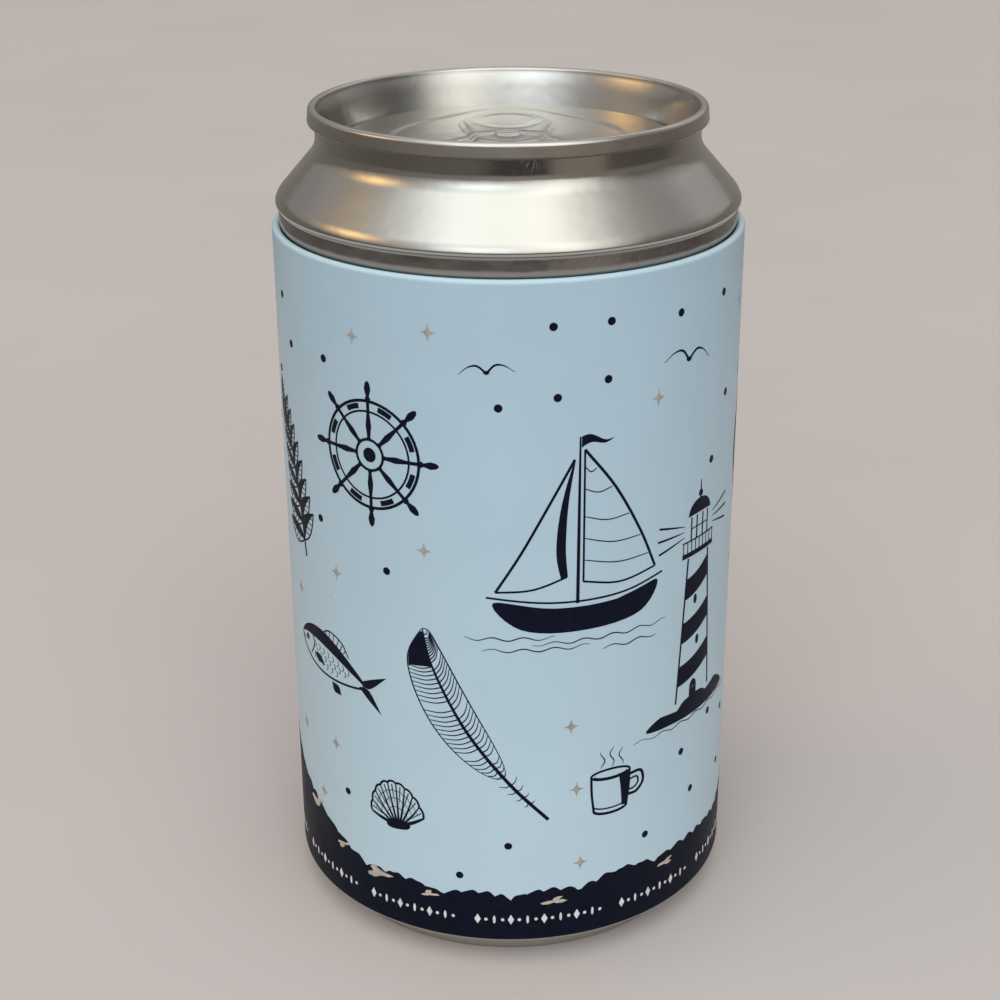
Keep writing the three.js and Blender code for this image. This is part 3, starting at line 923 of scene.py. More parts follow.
def balloon(pen):
    """An envelope of eight gores, every other one dark, above ropes and a woven basket."""
    t = np.linspace(0, 1, 41)
    girth = 0.33 * np.sin(math.pi * (t * 0.86) ** 0.8) ** 0.8 + 0.035 * t + 0.004 * (t == 0)
    bulge_shares = np.sin(math.pi * (np.arange(9) - 4) / 8)
    seams = [np.column_stack([girth * bulge, 0.5 - 0.72 * t]) for bulge in bulge_shares]
    marks = [stroke(seam, 0.8 * pen) for seam in seams] + [stroke(seam, 1.4 * pen) for seam in seams[::8]]
    marks += [strip(seams[k][6:34], seams[k + 1][6:34]) for k in (0, 2, 5, 7)]
    marks.append(curve([seams[0][-1], (0, -0.235), seams[-1][-1]], 1.6 * pen))
    for x in (-1, -0.35, 0.35, 1):
        marks.append(line([(0.07 * x, -0.24), (0.052 * x, -0.37)], 0.7 * pen))
    left, right = (straight([(side * 0.062, -0.37), (side * 0.052, -0.48)], 6) for side in (-1, 1))
    marks += [stroke(left, pen), stroke(right, pen), strip(left + (right - left) * 0.55, right)]
    marks.append(line([(-0.072, -0.37), (0.072, -0.37)], 1.8 * pen))
    marks += [line([(-0.058, y), (0.058, y)], 0.6 * pen) for y in (-0.4, -0.425, -0.45, -0.478)]
    return marks


def bicycle(pen):
    """Two spoked wheels, a frame of tubes, a saddle, bent bars, a chainwheel and its pedals."""
    rear, front, crank, seat = (-0.3, -0.1), (0.3, -0.1), (-0.04, -0.11), (-0.11, 0.17)
    marks = []
    for x, y in (rear, front):
        marks += [ring(x, y, 0.195, 1.7 * pen), ring(x, y, 0.175, 0.5 * pen), disc(x, y, 0.014)]
        for k in range(16):
            marks.append(line(turned_by([(x + 0.01, y), (x + 0.175, y)], k / 16, (x, y)), 0.4 * pen))
    tubes = [(seat, crank), (crank, (0.215, 0.13)), ((-0.1, 0.14), (0.2, 0.16)), (rear, crank),
             (rear, (-0.1, 0.14)), ((0.195, 0.21), (0.24, 0.06)), ((0.24, 0.06), front)]
    marks += [line(tube, 1.6 * pen) for tube in tubes]
    marks.append(blob([(-0.19, 0.185), (-0.12, 0.2), (-0.03, 0.188), (-0.1, 0.172), (-0.17, 0.165)]))
    marks.append(curve([(0.195, 0.21), (0.21, 0.25), (0.28, 0.255), (0.3, 0.2), (0.25, 0.18)], 1.4 * pen))
    marks += [ring(*crank, 0.042, 1.1 * pen, steps=24), disc(*crank, 0.012)]
    marks.append(line([(-0.085, -0.165), (0.005, -0.055)], 1.2 * pen))
    for x, y in ((-0.085, -0.168), (0.005, -0.052)):
        marks.append(line([(x - 0.024, y), (x + 0.024, y)], 1.8 * pen))
    for side in (-1, 1):
        marks.append(line([(-0.3, -0.1 + 0.02 * side), (-0.04, -0.11 + 0.042 * side)], 0.5 * pen))
    for x, start, stop in ((-0.3, 0.21, 0.5), (0.3, 0.04, 0.25)):
        marks.append(stroke(oval(x, -0.1, 0.218, None, start, stop, 16), pen))
    return marks + [ripple(-0.5, 0.5, -0.302, 0.003, 50, 0.9 * pen, 0.1)]


def anchor(pen):
    """A shank with a ring and a stock, and two curved arms that end in pointed flukes."""
    marks = [ring(0, 0.425, 0.062, 1.6 * pen, steps=28)]
    rise = np.linspace(-0.4, 0.36, 24)
    half = np.interp(rise, [-0.4, 0.2, 0.36], [0.034, 0.02, 0.028])
    marks.append(strip(np.column_stack([-half, rise]), np.column_stack([half, rise])))
    bar = np.linspace(-0.21, 0.21, 20)
    thick = np.interp(np.abs(bar), [0, 0.19, 0.21], [0.022, 0.013, 0.02])
    marks.append(strip(np.column_stack([bar, 0.255 + thick]), np.column_stack([bar, 0.255 - thick])))
    for side in (-1, 1):
        outer = [(0, -0.5), (side * 0.2, -0.4), (side * 0.31, -0.22), (side * 0.325, -0.12)]
        inner = [(0, -0.41), (side * 0.15, -0.33), (side * 0.25, -0.2), (side * 0.325, -0.12)]
        fluke = [(side * 0.345, -0.04), (side * 0.4, -0.21), (side * 0.31, -0.19), (side * 0.215, -0.16)]
        marks += [disc(side * 0.215, 0.255, 0.026), strip(smooth(outer), smooth(inner)), blob(fluke)]
    return marks


def camp(pen):
    """A ridge tent with a dark opening, guy lines, and three firs of drooping tiers."""
    apex, back, door, side = np.array([(-0.06, 0.1), (0.22, 0.14), (0.09, -0.36), (0.4, -0.27)])
    corner = (-0.25, -0.34)
    edges = ([corner, apex, door], [apex, back, side, door], [corner, door])
    marks = [line(edge, 1.2 * pen) for edge in edges]
    marks.append(slab([(-0.065, 0.07), (-0.15, -0.34)], [(-0.065, 0.07), (-0.02, -0.345)]))
    for way in (0.3, 0.6):
        marks.append(line([apex + (back - apex) * way, door + (side - door) * way], 0.5 * pen))
    marks += [line(rope, 0.5 * pen) for rope in ([apex, (-0.38, -0.35)], [back, (0.5, -0.3)])]
    for x, y, high in ((-0.36, -0.3, 0.66), (0.33, -0.18, 0.6), (-0.17, -0.05, 0.5)):
        for tier in range(5):
            top, low = y + high * (1 - 0.17 * tier), y + high * (0.7 - 0.17 * tier)
            half, lift = high * (0.06 + 0.035 * tier), 0.03 * high
            skirt = [(x - half, low), (x - half * 0.45, low + lift), (x, low - 0.01)]
            lower = smooth(skirt + [(x + half * 0.5, low + lift), (x + half, low)], 4)
            droop = np.abs(lower[:, 0] - x) / half
            upper = np.column_stack([lower[:, 0], top - (top - low) * np.clip(droop, 0, 1) ** 0.7])
            marks.append(strip(upper, lower))
        marks.append(line([(x, y + 0.1 * high), (x, y - 0.05 * high)], 2 * pen))
    return marks + [ripple(-0.5, 0.5, -0.385, 0.008, 21, pen, 0.1)]


def campfire(pen):
    """Two crossed logs with ringed ends under a flame of nested tongues."""
    marks = []
    root = np.array((0, -0.22))
    for scale, shift in ((1, 0), (0.62, -0.03), (0.34, -0.02)):
        left = smooth([(0, 0), (-0.27, 0.12), (-0.22, 0.34), (-0.06, 0.48), (-0.04, 0.72)], 8)
        right = smooth([(0, 0), (0.25, 0.12), (0.24, 0.3), (0.13, 0.42), (-0.04, 0.72)], 8)
        left, right = (edge * scale + root + (shift, 0) for edge in (left, right))
        marks += [strip(left, right)] if scale < 0.5 else [stroke(left, 1.3 * pen), stroke(right, 1.3 * pen)]
    for side in (-1, 1):
        start, stop = np.array((side * 0.42, -0.44)), np.array((-side * 0.3, -0.2))
        way = stop - start
        half = 0.05 * np.array([-way[1], way[0]]) / np.hypot(*way)
        marks += [line([start + edge, stop + edge], 1.2 * pen) for edge in (half, -half)]
        marks.append(line([start + half * 0.2, stop + half * 0.2], 0.5 * pen, 0.3, 0.3))
        marks.append(slab([start - half, stop - half], [start - 0.4 * half, stop - 0.4 * half]))
        marks += [ring(*start, 0.05, 1.2 * pen, steps=20), ring(*start, 0.022, 0.7 * pen, steps=12)]
    return marks


def peaks_and_sun(pen):
    """Two peaks with snow lines and hatched far sides, before a sun with rays."""
    marks = [stroke(oval(0.14, 0.06, 0.17, None, -0.02, 0.52), 1.2 * pen)]
    for k in range(9):
        ray = turned_by([(0.35, 0.06), (0.42 + 0.05 * (k % 2), 0.06)], k / 16, (0.14, 0.06))
        marks.append(line(ray, 1.2 * pen, 1, 0.3))
    left = [(-0.5, -0.3), (-0.36, -0.09), (-0.3, -0.12), (-0.17, 0.14), (-0.06, -0.02), (-0.02, -0.01)]
    right = [(-0.015, -0.02), (0.05, 0.02), (0.13, -0.04), (0.2, 0.04), (0.3, -0.08), (0.36, -0.1)]
    snow = [(-0.27, -0.05), (-0.22, -0.09), (-0.19, -0.03), (-0.14, -0.1), (-0.1, 0.03)]
    marks += [line(left + [(0.12, -0.3)], 1.4 * pen), line(right + [(0.5, -0.3)], 1.4 * pen)]
    marks.append(line(snow, 0.9 * pen))
    for peak, foot, count in (((-0.17, 0.12), (0.1, -0.3), 9), ((0.2, 0.02), (0.48, -0.3), 7)):
        for k in range(count):
            down = (k + 1) / (count + 1)
            start = np.array(peak) + (np.array(foot) - peak) * down
            end = np.maximum(start - (0.035 + 0.06 * down, 0.05 + 0.08 * down), (-1, -0.3))
            marks.append(line([start, end], 1.1 * pen, 1.2, 0.2))
    return marks + [ripple(-0.5, 0.5, -0.31, 0.006, 30, pen)]


def storm_lantern(pen):
    """A wire bail, a vented cap, a waisted glass with its flame, side tubes and a round tank."""
    marks = [stroke(oval(0, 0.27, 0.17, 0.22, 0.02, 0.48), 0.9 * pen)]
    marks.append(blob([(-0.075, 0.27), (0.075, 0.27), (0.1, 0.21), (0, 0.2), (-0.1, 0.21)]))
    marks.append(curve([(-0.04, 0.27), (-0.035, 0.34), (0.035, 0.34), (0.04, 0.27)], 1.2 * pen))
    for side in (-1, 1):
        glass = [(side * 0.08, 0.2), (side * 0.115, 0.05), (side * 0.105, -0.08), (side * 0.06, -0.17)]
        tube = [(side * 0.06, 0.23), (side * 0.2, 0.2), (side * 0.215, -0.1), (side * 0.17, -0.27)]
        marks += [curve(glass, pen), curve(tube, 1.6 * pen)]
    marks.append(blob([(0, -0.12), (0.04, -0.07), (0.02, 0), (0.005, 0.06), (-0.02, -0.01), (-0.035, -0.07)]))
    marks.append(slab([(-0.075, -0.17), (0.075, -0.17)], [(-0.095, -0.215), (0.095, -0.215)]))
    tank = [(-0.2, -0.29), (-0.12, -0.235), (0.12, -0.235), (0.2, -0.29), (0.19, -0.4), (-0.19, -0.4)]
    outline = smooth(tank, 6, closed=True)
    marks.append(stroke(np.vstack([outline, outline[:2]]), 1.3 * pen))
    marks.append(slab([(-0.19, -0.36), (0.19, -0.36)], [(-0.19, -0.42), (0.19, -0.42)]))
    return marks + [disc(0.12, -0.275, 0.018)]


def crescent_moon(pen):
    """A crescent between two arcs, dark along its inner edge."""
    outer = oval(0, 0, 0.46, None, 0.13, 0.87, 40)
    inner = oval(0.2, 0, 0.36, None, 0.19, 0.81, 40)
    marks = [stroke(outer, 1.3 * pen, 0.4, 0.4), stroke(inner, 1.1 * pen, 0.4, 0.4)]
    dark_share = 0.35 * np.sin(np.linspace(0, math.pi, 41))[:, None]
    return marks + [strip(inner, inner + (outer - inner) * dark_share)]


def kite(pen):
    """A diamond on crossed spars, two quarters dark, with a waving tail of bows."""
    top, low, left, right, middle = (0, 0.5), (0, -0.12), (-0.22, 0.24), (0.22, 0.24), (0, 0.24)
    marks = [line([top, right, low, left, top], 1.4 * pen), line([top, low], pen), line([left, right], pen)]
    marks += [slab([top, middle], [top, right]), slab([low, middle], [low, left])]
    drop = np.linspace(0, 1, 40)
    tail = np.column_stack([0.07 * np.sin(9 * drop) * drop**0.5, -0.12 - 0.38 * drop])
    marks.append(stroke(tail, 0.7 * pen))
    for knot in tail[[10, 19, 28, 37]]:
        for side in (-1, 1):
            marks.append(slab([knot, knot + (side * 0.06, 0.03)], [knot, knot + (side * 0.06, -0.03)]))
    return marks


# Picture, degrees to the right of the front, level and size as shares of the wall's top, tilt in degrees.
PICTURES = (
    (ship_wheel, -34, 0.755, 0.2, 0),
    (gull, -5, 0.885, 0.07, 4),
    (sailing_boat, 16, 0.645, 0.3, 0),
    (gull, 46, 0.87, 0.09, -8),
    (quill_feather, -9, 0.37, 0.33, 34),
    (camp_mug, 27, 0.285, 0.11, 0),
    (lighthouse, 53, 0.51, 0.36, 0),
    (scallop, -30, 0.24, 0.09, 8),
    (fish, -49, 0.42, 0.19, -10),
    (leafy_branch, -66, 0.68, 0.24, 20),
    (balloon, 96, 0.65, 0.3, 0),
    (bicycle, 126, 0.32, 0.24, 0),
    (anchor, 142, 0.71, 0.18, -12),
    (kite, 163, 0.47, 0.2, -20),
    (crescent_moon, -165, 0.84, 0.09, 15),
    (camp, -152, 0.39, 0.22, 0),
    (peaks_and_sun, -128, 0.75, 0.23, 0),
    (campfire, -119, 0.33, 0.12, 0),
    (storm_lantern, -95, 0.54, 0.18, 0),
)

# Middle and width in degrees, and rise in metres, of the hills of the dark band's edge.
HILLS = ((-88, 30, 0.012), (118, 40, 0.006), (34, 20, 0.0014))

# Bumps on the hills: rise in metres, power that rounds them, and how their sine sways. The
# grain is finer and isn't rounded.
BUMPS = ((0.0011, 0.8, (8, 0.8, 3)), (0.0005, 0.9, (37, 1.6, 5)))
GRAIN_RISE = 0.0001
GRAIN_SWAY = (97, 2, 11)

FLECK_DEGREES = (-62, -49, -36, -21, 11, 44, 84, 103, 127, 149, -86, -104, -131, -158)

SCATTER_TRIES = 4000
SCATTER_DEGREES = 178  # marks are drawn as far as this from the front,
CLEAR_DEGREES = 174  # and are kept as far as this, beside the lap
CLEAR_POWER = 2.6  # of the rounded box round a picture
CLEAR_SPARE = 0.8  # free space that this box adds, in spares
MARKS_APART = 3.1  # least distance of two marks, in spares


def laid(scene, grid, degrees, level, size=1.0, tilt=0.0, layer=1):
    """A drawing wrapped round the wall: its shares times its size, tilted, become a way along
    the wall and a level, and the way over the radius is the angle."""
    ink = scene.tin_print
    flat = turned_by(grid[..., :2].reshape(-1, 2), tilt / 360).reshape(grid.shape[:2] + (2,)) * size
    radius = wall_radius(scene)
    way = math.radians(degrees) + flat[..., 0] / radius
    under = radius + (layer - 1) * ink.ink
    lift = grid[..., 2]
    return about_axis(under + lift * ink.ink - (1 - lift) * ink.sink, way, level + flat[..., 1])


def picture_marks(scene, place):
    """The marks of one picture, in shares of its size."""
    draw, _, _, size_share, _ = place
    return draw(scene.tin_print.pen / (size_share * scene.tin_body.top))


def degrees_away(degrees, middle):
    """Degrees from a middle, the short way round."""
    return (degrees - middle + 180) % 360 - 180


def swaying(angles, rounds, sway, sway_rounds):
    """A sine of many rounds, shifted to and fro by a slower one."""
    return np.sin(rounds * angles + sway * np.sin(sway_rounds * angles))


def hill_level(scene, angles):
    """Upper edge of the dark band: a foot, smooth hills that fall off as exp(-(d/w) squared),
    and bumps of a rounded sine with smaller ones on them."""
    level = scene.tin_print.band_foot + 0 * angles
    for middle, wide, rise in HILLS:
        level = level + rise * np.exp(-((degrees_away(np.degrees(angles), middle) / wide) ** 2))
    for rise, power, sway in BUMPS:
        level = level + rise * np.abs(swaying(angles, *sway)) ** power
    return level + GRAIN_RISE * swaying(angles, *GRAIN_SWAY)


def hill_level_at(scene, degrees):
    """Upper edge of the dark band at one place."""
    return hill_level(scene, np.array([math.radians(degrees)]))[0]


def band_mesh(scene):
    """The dark band: rows climb the bottom corner and the wall up to the hills' edge on the
    outside, and come back down inside, in the wall."""
    body, ink, common = scene.tin_body, scene.tin_print, scene.tin_sheet
    angles = even_angles(5 * common.turns)
    radius = wall_radius(scene)
    middle_r, middle_z = radius - body.corner, body.wall_foot
    low = math.asin((middle_z - body.print_end) / body.corner)
    turn = np.linspace(-low, 0, 7)[:, None] + 0 * angles
    climb_share = np.linspace(0, 1, 7)[1:, None]
    top = hill_level(scene, angles)[None]
    wall_z = middle_z + (top - middle_z) * climb_share
    grids = []
    for lift in (ink.ink, -ink.sink):
        corner_r = middle_r + (body.corner + lift) * np.cos(turn)
        corner_z = middle_z + (body.corner + lift) * np.sin(turn)
        r = np.vstack([corner_r, radius + lift + 0 * wall_z])
        grids.append(about_axis(r, angles, np.vstack([corner_z, wall_z])))
    return make_mesh("print_dark_band", [np.concatenate([grids[0], grids[1][::-1]])], looped=True)


def ornament_mesh(scene):
    """A row of small lozenges and dots, in groups with a gap after each."""
    ink = scene.tin_print
    count = int(TURN * scene.tin_body.radius / ink.ornament_pitch)
    lozenge_shares = [(0, 0.5), (0.27, 0), (0, -0.5), (-0.27, 0), (0, 0.5)]
    lozenge = area(straight(lozenge_shares, 8)[:-1])
    shapes = (lozenge, disc(0, 0, 0.15), disc(0, 0, 0.12, 0.4, 12), disc(0, 0, 0.15))
    group = 14
    marks = []
    for k in range(count):
        if k % group < group - 2:
            shape = shapes[(k % group) % len(shapes)]
            marks.append(laid(scene, shape, 360 * k / count, ink.ornament_level, ink.ornament, 0, 2))
    return make_mesh("print_ornament_row", marks)


def fleck_mesh(scene):
    """Small torn flecks of the light brown ink near the hills' edge."""
    chance = np.random.default_rng(scene.tin_print.seed)
    marks = []
    for k, degrees in enumerate(FLECK_DEGREES):
        way = np.linspace(0, 1, 15)[:-1] * TURN
        reach = 0.5 + 0.22 * np.sin(3 * way + k) + chance.uniform(-0.12, 0.12, way.shape)
        y = 0.36 * reach * np.sin(way) + 0.12 * reach * np.cos(way)
        outline = np.column_stack([reach * np.cos(way), y])
        level = hill_level_at(scene, degrees) - chance.uniform(0.0008, 0.0024)
        size = chance.uniform(0.0022, 0.0042)
        marks.append(laid(scene, area(outline), degrees, level, size, chance.uniform(-15, 15), 2))
    return make_mesh("print_flecks", marks)


def scattered_places(scene):
    """Angles and levels of the scattered marks, drawn at random and kept where they are clear
    of the pictures' boxes, the dark band, the lap and each other."""
    ink, body = scene.tin_print, scene.tin_body
    boxes = []
    for place in PICTURES:
        _, degrees, level_share, size_share, tilt = place
        marks = np.concatenate([mark.reshape(-1, 3) for mark in picture_marks(scene, place)])
        flat = turned_by(marks[:, :2], tilt / 360) * (size_share * body.top)
        low, high = flat.min(axis=0), flat.max(axis=0)
        boxes.append((degrees, level_share * body.top, (low + high) / 2, (high - low) / 2))
    chance = np.random.default_rng(ink.seed)
    far, tries = SCATTER_DEGREES, SCATTER_TRIES
    kept = []
    for degrees, level_share in chance.uniform((-far, 0), (far, 1), (tries, 2)):
        if len(kept) == ink.marks:
            break
        low = hill_level_at(scene, degrees) + ink.spare
        level = low + level_share * (body.top - 2 * ink.spare - low)
        clear = abs(degrees) <= CLEAR_DEGREES
        for centre, middle_level, shift, half in boxes:
            away = degrees_away(degrees, centre) * math.radians(1) * body.radius - shift[0]
            rise = level - middle_level - shift[1]
            wide, high = half + CLEAR_SPARE * ink.spare
            clear = clear and (abs(away) / wide) ** CLEAR_POWER + (abs(rise) / high) ** CLEAR_POWER > 1
        for other, other_level in kept:
            away = degrees_away(degrees, other) * math.radians(1) * body.radius
            clear = clear and math.hypot(away, level - other_level) > MARKS_APART * ink.spare
        if clear:
            kept.append((degrees, level))
    return kept


def scatter_meshes(scene):
    """Dots of the dark ink, and four-pointed stars of the warm grey one."""
    ink = scene.tin_print
    way = np.arange(24) / 24 * TURN
    reach = (np.abs(np.cos(way)) ** 0.55 + np.abs(np.sin(way)) ** 0.55) ** (-1 / 0.55)
    star = area(np.column_stack([0.92 * reach * np.cos(way), reach * np.sin(way)]))
    dots, stars = [], []
    for k, (degrees, level) in enumerate(scattered_places(scene)):
        if k % 3 == 2:
            stars.append(laid(scene, star, degrees, level, ink.star, 0))
        else:
            dots.append(laid(scene, disc(0, 0, 1), degrees, level, ink.dot, 0))
    return make_mesh("print_dots", dots), make_mesh("print_stars", stars)


class Graph:
    """Adds nodes to a tree and links their sockets."""

    def __init__(self, tree):
        self.tree = tree

    def feed(self, node, inputs):
        """Link or set inputs of a node."""
        for key, value in inputs.items():
            if isinstance(value, bpy.types.NodeSocket):
                self.tree.links.new(value, node.inputs[key])
            else:
                node.inputs[key].default_value = value
        return node

    def add(self, kind, inputs=None, **settings):
        node = self.tree.nodes.new("ShaderNode" + kind)
        for key, value in settings.items():
            setattr(node, key, value)
        return self.feed(node, inputs or {})

    def effect(self, name, **inputs):
        """The output of a shared effect."""
        node = self.add("Group", node_tree=bpy.data.node_groups[name])
        return self.feed(node, {key.capitalize(): value for key, value in inputs.items()}).outputs[0]

    def place(self):
        """The place on the object, in metres."""
        return self.add("TexCoord").outputs["Object"]

    def parts(self, vector):
        return self.add("SeparateXYZ", {0: vector}).outputs

    def carried(self, name):
        """A number that the mesh carries at each of its points."""
        return self.add("Attribute", attribute_name=name).outputs["Fac"]

    def vectors(self, operation, first, second):
        """A number made of two vectors."""
        return self.add("VectorMath", {0: first, 1: second}, operation=operation).outputs["Value"]

    def maths(self, operation, first, second=0.0):
        return self.add("Math", {0: first, 1: second}, operation=operation).outputs[0]

    def mix(self, factor, first, second):
        return self.add("Mix", {0: factor, 6: first, 7: second}, data_type="RGBA").outputs[2]

    def mix_number(self, factor, first, second):
        return self.add("Mix", {0: factor, 2: first, 3: second}).outputs[0]

    def between(self, factor, tone, low, high):
        """A tone at one strength where the factor is 0, and at another where it is 1."""
        return self.mix(factor, full(tone, low), full(tone, high))

    def cover(self, under, mask, share, tone):
        """A tone laid over another one, by a share of the mask."""
        return self.mix(self.maths("MULTIPLY", mask, share), under, tone)

    def uneven(self, size, low=0, high=1):
        return self.effect("Unevenness", size=size, low=low, high=high)

    def noise(self, place, fineness, detail, **more):
        """Noise in as many directions as the place has."""
        return self.add("TexNoise", {"Vector": place, "Scale": fineness, "Detail": detail}, **more).outputs[0]

    def spread(self, value, low, high, to_low=0.0, to_high=1.0):
        sockets = {"Value": value, "From Min": low, "From Max": high, "To Min": to_low, "To Max": to_high}
        return self.add("MapRange", sockets).outputs[0]


def full(rgb, factor=1.0):
    """A colour times a factor, with its alpha."""
    return tuple(min(1.0, factor * part) for part in rgb) + (1.0,)


def axis_distance(graph, parts):
    """Distance from the axis of the place with these parts."""
    flat = graph.add("CombineXYZ", {0: parts[0], 1: parts[1]}).outputs[0]
    return graph.vectors("LENGTH", flat, (0, 0, 0))


def unevenness(graph, given):
    """Soft patches of one size, as a number between two values."""
    fineness = graph.maths("DIVIDE", 1.0, given["Size"])
    sockets = {"Vector": graph.place(), "Scale": fineness, "Detail": 3.0, "Roughness": 0.55}
    patches = graph.add("TexNoise", sockets).outputs[0]
    return graph.spread(patches, 0.32, 0.68, given["Low"], given["High"])


def spin_marks(graph, given):
    """Rings that the rollers leave on turned tinplate: noise over radius and level, drawn out
    round the axis."""
    parts = graph.parts(graph.place())
    radius = axis_distance(graph, parts)
    across = graph.maths("DIVIDE", graph.maths("ADD", radius, parts[2]), given["Pitch"])
    down = graph.maths("DIVIDE", graph.maths("SUBTRACT", radius, parts[2]), given["Pitch"])
    about = graph.maths("MULTIPLY", graph.maths("ARCTAN2", parts[0], parts[1]), 1.5)
    return graph.noise(graph.add("CombineXYZ", {0: across, 1: down, 2: about}).outputs[0], 1.0, 2.0)


def scratches(graph, given):
    """Fine scratches: noise over the way round the wall and the level, turned and drawn out
    along the scratch, cut off at a high level, and kept only inside soft patches."""
    parts = graph.parts(graph.place())
    way = graph.maths("MULTIPLY", graph.maths("ARCTAN2", parts[0], parts[1]), given["Radius"])
    place = graph.add("CombineXYZ", {0: way, 1: parts[2]}).outputs[0]
    tilted = graph.add("VectorRotate", {"Vector": place, "Angle": given["Tilt"]}, rotation_type="Z_AXIS")
    parts = graph.parts(tilted.outputs[0])
    along = graph.maths("DIVIDE", parts[1], given["Length"])
    across = graph.maths("DIVIDE", parts[0], given["Width"])
    drawn = graph.add("CombineXYZ", {0: across, 1: along}).outputs[0]
    lines = graph.spread(graph.noise(drawn, 1.0, 1.0, noise_dimensions="2D"), 0.7, 0.78)
    where = graph.noise(place, 90.0, 1.0, noise_dimensions="2D")
    limit = graph.spread(given["Amount"], 0.0, 1.0, 0.75, 0.35)
    return graph.maths("MULTIPLY", lines, graph.spread(where, limit, graph.maths("ADD", limit, 0.12)))


def specks(graph, given):
    """Small round specks: cells of which only a few hold a dot of random size."""
    fineness = graph.maths("DIVIDE", 1.0, given["Spacing"])
    cells = graph.add("TexVoronoi", {"Vector": graph.place(), "Scale": fineness}).outputs
    chosen = graph.spread(graph.add("SeparateColor", {0: cells["Color"]}).outputs[0], 0.6, 1.0)
    reach = graph.maths("MULTIPLY", chosen, graph.maths("DIVIDE", given["Size"], given["Spacing"]))
    return graph.maths("LESS_THAN", cells["Distance"], reach)


def rubbing(graph, given):
    """Wear on edges: the piece's own edge mask, broken up by fine noise."""
    noise = graph.noise(graph.place(), graph.maths("DIVIDE", 1.0, given["Grain"]), 3.0)
    limit = graph.maths("SUBTRACT", 0.92, graph.maths("MULTIPLY", given["Edge"], given["Amount"]))
    return graph.spread(noise, limit, graph.maths("ADD", limit, 0.08))


# Name of each shared effect, what makes it, its output and its inputs with their defaults
EFFECTS = (
    ("Unevenness", unevenness, "Value", {"Size": 0.01, "Low": 0, "High": 1}),
    ("Spin marks", spin_marks, "Height", {"Pitch": 0.0004}),
    ("Scratches", scratches, "Mask",
     {"Length": 0.005, "Width": 0.00012, "Tilt": 0.6, "Amount": 0.5, "Radius": 0.03}),
    ("Specks", specks, "Mask", {"Spacing": 0.004, "Size": 0.00012}),
    ("Rubbing", rubbing, "Mask", {"Edge": 0, "Amount": 0.5, "Grain": 0.0008}),
)


def make_effect(name, build, output, inputs):
    """A shader group with number sockets, whose nodes are added by its own function."""
    tree = bpy.data.node_groups.new(name, "ShaderNodeTree")
    for socket, default in inputs.items():
        made = tree.interface.new_socket(name=socket, in_out="INPUT", socket_type="NodeSocketFloat")
        made.default_value = default
    tree.interface.new_socket(name=output, in_out="OUTPUT", socket_type="NodeSocketFloat")
    graph = Graph(tree)
    value = build(graph, tree.nodes.new("NodeGroupInput").outputs)
    graph.feed(tree.nodes.new("NodeGroupOutput"), {0: value})


def new_material(name):
    """The graph of a new material, and its shader."""
    material = bpy.data.materials.new(name)
    material.use_nodes = True
    graph = Graph(material.node_tree)
    graph.tree.nodes.clear()
    shader = graph.add("BsdfPrincipled")
    graph.add("OutputMaterial", {0: shader.outputs[0]})
    return graph, shader


def print_material(scene):
    """Satin light blue print: soft patches, fine grain, a few specks and scratches, a painted
    highlight along the curl's crest, rubbed edges, and bare tinplate beside the lap and on the
    bottom corner."""
    tones = scene.tin_colours
    graph, shader = new_material("Printed ground")
    grain = graph.uneven(0.00035)
    spots = graph.effect("Specks", spacing=0.006, size=0.0004)
    radius = scene.tin_body.radius
    lines = graph.effect("Scratches", length=0.006, width=0.00007, tilt=0.35, amount=0.2, radius=radius)
    worn, bare = graph.carried("worn"), graph.carried("bare")
    rubbed = graph.effect("Rubbing", edge=worn, amount=0.28, grain=0.0006)
    tone = graph.between(graph.uneven(0.018), tones.ground, 0.97, 1.03)
    tone = graph.cover(tone, grain, 0.25, full(tones.ground, 0.92))
    tone = graph.cover(tone, spots, 0.5, full(tones.ground, 0.35))
    tone = graph.cover(tone, lines, 0.3, full(tones.ground, 1.25))
    # Painted highlight: a lighter tone over the worn mask, along the curl's crest.
    tone = graph.cover(tone, worn, 0.55, full(tones.worn))
    tone = graph.cover(tone, rubbed, 0.3, full(tones.worn, 1.1))
    tone = graph.mix(bare, tone, full(tones.dull_tin))
    satin = graph.uneven(0.009, 0.32, 0.42)
    satin = graph.mix_number(graph.maths("MULTIPLY", rubbed, 0.6), satin, 0.3)
    satin = graph.mix_number(bare, satin, 0.27)
    bump = graph.add("Bump", {"Height": grain, "Strength": 0.06, "Distance": 0.00003}).outputs[0]
    graph.feed(shader, {"Base Color": tone, "Roughness": satin, "Metallic": bare, "Normal": bump})
    graph.feed(shader, {"Specular IOR Level": 0.45})


def painted_shade_mask(graph, top, inside):
    """Mask of the painted shade that lies below one level and outside one radius."""
    parts = graph.parts(graph.place())
    low = graph.maths("LESS_THAN", parts[2], top)
    return graph.maths("MULTIPLY", low, graph.maths("GREATER_THAN", axis_distance(graph, parts), inside))


